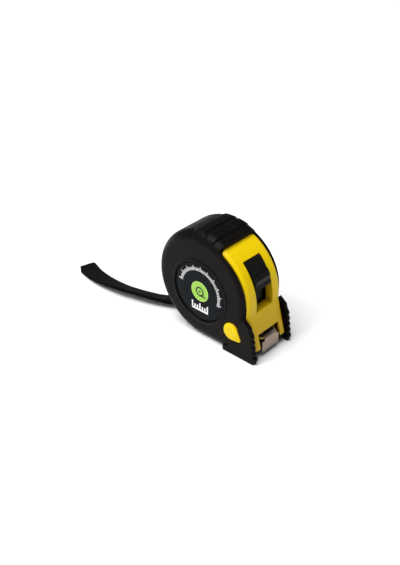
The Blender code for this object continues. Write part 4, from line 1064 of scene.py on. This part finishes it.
def prints():
    """Generic print: a graduated arc, a green roundel with a pale green rim, and a short rule below it."""
    ticks = []
    for i in range(47):
        turn = radians(168.0 - 4.0 * i)
        reach = 0.0030 if i % 5 == 0 else 0.0019
        inner = LABEL_R * 0.72
        ticks.append(stroke(inner * cos(turn), inner * sin(turn),
                            (inner + reach) * cos(turn), (inner + reach) * sin(turn), 0.00042))
    rule = [stroke(-0.0062, -0.0126, 0.0062, -0.0126, 0.0012)]
    for i in range(7):
        x = -0.0057 + 0.0019 * i
        rule.append(stroke(x, -0.0122, x, -0.0080 if i % 3 == 0 else -0.0098, 0.0010))
    roundel = [circle(0.0, 0.0, 0.0058, 72)]
    rim = [ring_shape(0.0061, 0.0005, 0.0, 180.0), ring_shape(0.0061, 0.0005, 180.0, 360.0)]
    return (("scale", "white_ink", ticks + rule), ("roundel", "green_ink", roundel),
            ("rim", "pale_green_ink", rim))


def roundel_mark(name, side):
    """A reel with its tape running off, over the roundel."""
    outer = side * (SHELL_HALF + GAP + LABEL_T) + side * INK_T
    shapes = [ring_shape(0.0026, 0.0010, -90.0, 90.0), ring_shape(0.0026, 0.0010, 90.0, 270.0),
              circle(0.0, 0.0, 0.0007, 24), stroke(0.0, -0.0026, 0.0044, -0.0026, 0.0010)]
    for shape in shapes:
        join_into(name, raised([(side * -x, z) for x, z in shape], outer, side), "dark_ink")


def screw(name, x, z, seat_y, radius, height, node, tail_y, tail_r):
    """Pan-head screw with a cross recess."""
    profile = [(tail_y, tail_r * 0.5), (tail_y + tail_r, tail_r), (seat_y, tail_r), (seat_y, radius * 0.96),
               (seat_y + height * 0.12, radius), (seat_y + height * 0.45, radius)]
    for i in range(1, 6):
        turn = pi / 2 * i / 6
        profile.append((seat_y + height * (0.45 + 0.55 * sin(turn)),
                        radius * (0.35 + 0.65 * cos(turn))))
    piece = from_bmesh(name, stacked(profile, (x, z), "y", 40), "steel")
    top_y, reach, half = seat_y + height, radius * 0.6, radius * 0.13
    for a, b in ((reach, half), (half, reach)):
        tool(piece, box((x - a, top_y - height * 0.6, z - b), (x + a, top_y + height, z + b)))
    freeze(piece, 35.0)
    return dress(piece, "case", "steel", node)


def clip():
    """Sprung steel belt clip, bent from strip, with a rounded lower end."""
    face, out = HALF_WIDTH + GAP, HALF_WIDTH + RING_HEIGHT + CLIP_GAP
    step_z, lip_z = CLIP_FOOT_Z - 0.0056, CLIP_LOW_Z + CLIP_LIP
    t = CLIP_T
    path = [(face + t / 2, CLIP_TOP_Z), (face + t / 2, CLIP_FOOT_Z + t / 4), (out + t / 2, step_z + t / 4),
            (out + t / 2, lip_z + t / 8), (out + t / 2 + CLIP_LIP / 2, CLIP_LOW_Z + t / 8)]
    line = rounded_path([Vector(point) for point in path], 0.0022)
    length = [0.0]
    for a, b in zip(line, line[1:]):
        length.append(length[-1] + (b - a).length)
    shape = bmesh.new()
    rows = []
    for point, s in zip(line, length):
        from_end = min(s, length[-1] - s)
        corner = 0.0030 if s > length[-1] / 2 else 0.0016
        half = CLIP_HALF - corner + sqrt(max(corner ** 2 - max(corner - from_end, 0.0) ** 2, 0.0))
        rows.append([shape.verts.new((half * (2 * k / 16 - 1), point.x, point.y)) for k in range(17)])
    for near, far in zip(rows, rows[1:]):
        strip_faces(shape, near, far)
    piece = thickened(from_bmesh("belt_clip_strip", shape, "steel"), CLIP_T)
    tool(piece, disc(0.0, CLIP_SCREW_Z, CLIP_HOLE_R, 0.0, FAR, 40))
    freeze(piece)
    bevelled(piece, 0.00018)
    return dress(piece, "case", "steel", "belt_clip")


def rounded_path(points, radius, steps=7):
    """The same path with its corners rounded, sampled finely."""
    line = [points[0]]
    for a, b, c in zip(points, points[1:], points[2:]):
        before, after = (a - b).normalized(), (c - b).normalized()
        cut = min(radius, (a - b).length / 2.2, (c - b).length / 2.2)
        start, end = b + before * cut, b + after * cut
        line += [start.lerp(b, t).lerp(b.lerp(end, t), t) for t in (i / steps for i in range(steps + 1))]
    line.append(points[-1])
    fine = [line[0]]
    for a, b in zip(line, line[1:]):
        count = max(1, int((b - a).length / 0.0008))
        fine += [a.lerp(b, i / count) for i in range(1, count + 1)]
    return fine


# ======== wrist strap
def smooth(points, per_span):
    """Catmull-Rom points through a list of tuples."""
    ends = [points[0]] + list(points) + [points[-1]]
    curve = []
    for a, b, c, d in zip(ends, ends[1:], ends[2:], ends[3:]):
        for i in range(per_span):
            t = i / per_span
            curve.append(tuple(0.5 * (2 * q + (r - p) * t + (2 * p - 5 * q + 4 * r - s) * t * t
                                      + (3 * q - p - 3 * r + s) * t ** 3) for p, q, r, s in zip(a, b, c, d)))
    curve.append(tuple(points[-1]))
    return curve


def strap_frames():
    """Middle, across and up vectors along the folded strap, from the pin to its far fold."""
    route = []
    for back, y, share, degrees in STRAP_ROUTE:
        twist = radians(degrees)
        layers = STRAP_T + STRAP_SPLIT / 2
        resting = STRAP_WIDTH / 2 * sin(twist) + layers * cos(twist) + STRAP_LIFT
        route.append((PIN_X - back, y, max(PIN_Z * share, resting), twist))
    route = smooth(route, 24)
    frames = []
    for i, (x, y, z, twist) in enumerate(route):
        before, after = route[max(i - 1, 0)], route[min(i + 1, len(route) - 1)]
        ahead = (Vector(after[:3]) - Vector(before[:3])).normalized()
        level = Vector((-ahead.y, ahead.x, 0.0)).normalized()
        across = Matrix.Rotation(twist, 3, ahead) @ level
        frames.append((Vector((x, y, z)), across, ahead.cross(across)))
    return frames


def strap_line():
    """One run of webbing, open near the pin: out along the top, round the far fold, back underneath and
    partly round the pin. Each entry is a point on the webbing's middle and the direction across it."""
    frames = strap_frames()
    lift = STRAP_T / 2 + STRAP_SPLIT / 2
    out = []
    for i, (middle, across, up) in enumerate(frames[START_FRAME:], START_FRAME):
        swell = min(max((i - len(frames) + FOLD_FRAMES) / FOLD_FRAMES, 0.0), 1.0)
        rise = 2 * FOLD_SWELL * swell * swell * (3 - 2 * swell)
        out.append((middle + up * (lift + rise), across))
    back = [(middle - up * lift, across) for middle, across, up in reversed(frames)]
    middle, across, up = frames[-1]
    ahead = (frames[-1][0] - frames[-2][0]).normalized()
    radius = lift + FOLD_SWELL
    fold = [(middle + up * FOLD_SWELL + (ahead * sin(t) + up * cos(t)) * radius, across)
            for t in (pi * i / 12 for i in range(1, 12))]
    pin = Vector((PIN_X, 0.0, PIN_Z))
    middle, across, up = frames[0]
    towards = (middle - pin).normalized()
    radius = PIN_R + STRAP_T / 2 + 0.0001
    wrap = [(pin - towards * radius * sin(t) - up * radius * cos(t), across)
            for t in (pi * i / 12 for i in range(WRAP_STEPS))]
    return out + fold + back + wrap


def even_line(line, step):
    """The line resampled at even steps."""
    points = [point for point, _ in line]
    lengths = [0.0]
    for a, b in zip(points, points[1:]):
        lengths.append(lengths[-1] + (b - a).length)
    total = lengths[-1]
    count = int(round(total / step))
    made, k = [], 0
    for i in range(count + 1):
        s = total * i / count
        while k < len(lengths) - 2 and lengths[k + 1] < s:
            k += 1
        share = (s - lengths[k]) / max(lengths[k + 1] - lengths[k], 1e-9)
        across = line[k][1].lerp(line[k + 1][1], share).normalized()
        made.append((points[k].lerp(points[k + 1], share), across, s))
    return made, total


def strap():
    """Woven webbing with rounded selvedges and weft ribs, as one mesh with its own lengthwise UVs."""
    line, total = even_line(strap_line(), 0.00035)
    section = []
    for i in range(28):
        turn = 2 * pi * i / 28
        a, b = cos(turn), sin(turn)
        section.append((copysign(abs(a) ** 0.35, a) * STRAP_WIDTH / 2,
                        copysign(abs(b) ** 0.6, b) * STRAP_T / 2))
    shape = bmesh.new()
    uv = shape.loops.layers.uv.new("UVMap")
    rings = []
    fold_at = max(line, key=lambda entry: (entry[0] - Vector((PIN_X, 0.0, PIN_Z))).length)[2]
    for i, (point, across, s) in enumerate(line):
        near_fold = max(0.0, 1.0 - abs(s - fold_at) / FOLD_TAPER)
        width = 1.0 - FOLD_NARROW * near_fold * near_fold
        before, after = line[max(i - 1, 0)][0], line[min(i + 1, len(line) - 1)][0]
        ahead = (after - before).normalized()
        side = (across - ahead * across.dot(ahead)).normalized()
        up = ahead.cross(side)
        rib = 1.0 - 0.07 * (0.5 - 0.5 * cos(2 * pi * s / 0.00105))
        rings.append([shape.verts.new(point + side * u * width + up * v * rib) for u, v in section])
    for k, (near, far) in enumerate(zip(rings, rings[1:])):
        for i in range(len(section)):
            j = (i + 1) % len(section)
            face = shape.faces.new((near[i], near[j], far[j], far[i]))
            for loop, (edge, row) in zip(face.loops, ((i, k), (j, k), (j, k + 1), (i, k + 1))):
                loop[uv].uv = (section[edge][0] * 100, line[row][2] * 100)
    shape.faces.new(list(reversed(rings[0])))
    shape.faces.new(rings[-1])
    piece = from_bmesh("strap_webbing", shape, "webbing")
    dress(piece, "case", "webbing", "wrist_strap")


# ======== carried-over CAD nodes
KEPT = {
    "right_shell": "shell", "left_shell": "shell", "lock_tongue": "black_plastic", "stop_pad": "rubber",
    "stop_spring": "steel", "reel_drum": "reel", "reel_cover": "reel", "power_spring": "steel",
    "blade_coil": "coil", "hook_bumper": "rubber", "blade_guide": "nylon", "spindle": "steel",
    "strap_pin": "steel", "strap_ferrule": "steel",
}


def paint_kept_nodes():
    for name, paint in KEPT.items():
        for holder in NODES[name].material_slots:
            holder.material = PAINTS[paint]


def squeeze_spring():
    """Gives the button's return spring a mesh of its own."""
    spring = NODES["stop_spring"]
    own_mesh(spring)


# ======== whole scene
place_camera()
strap()
light_scene()
lay_floor()
paint_kept_nodes()
squeeze_spring()
jacket("jacket_right", -1, "right_grip")
jacket("jacket_left", 1, "left_grip")
bezel()
slider()
button()
blade()
hook()
rivet("rivet_right", -RIVET_Y, "hook_rivet_right")
rivet("rivet_left", RIVET_Y, "hook_rivet_left")
label("label_right", -1, "right_label")
label("label_left", 1, "left_label")
roundel_mark("label_right_mark", -1)
roundel_mark("label_left_mark", 1)
lay_inks()
for number, (spot_x, spot_z) in enumerate(SCREW_SPOTS, 1):
    screw(f"screw_{number}", spot_x, spot_z, SHELL_HALF + GAP, SCREW_HEAD_R, SCREW_HEAD_T,
          f"case_screw_{number}", -CAVITY_HALF + SCREW_R, SCREW_R)
screw("clip_bolt", 0.0, CLIP_SCREW_Z, HALF_WIDTH + 2 * GAP + CLIP_T, CLIP_SCREW_HEAD_R, CLIP_SCREW_HEAD_T,
      "clip_screw", CLIP_SCREW_TAIL_Y, CLIP_SCREW_R)
clip()
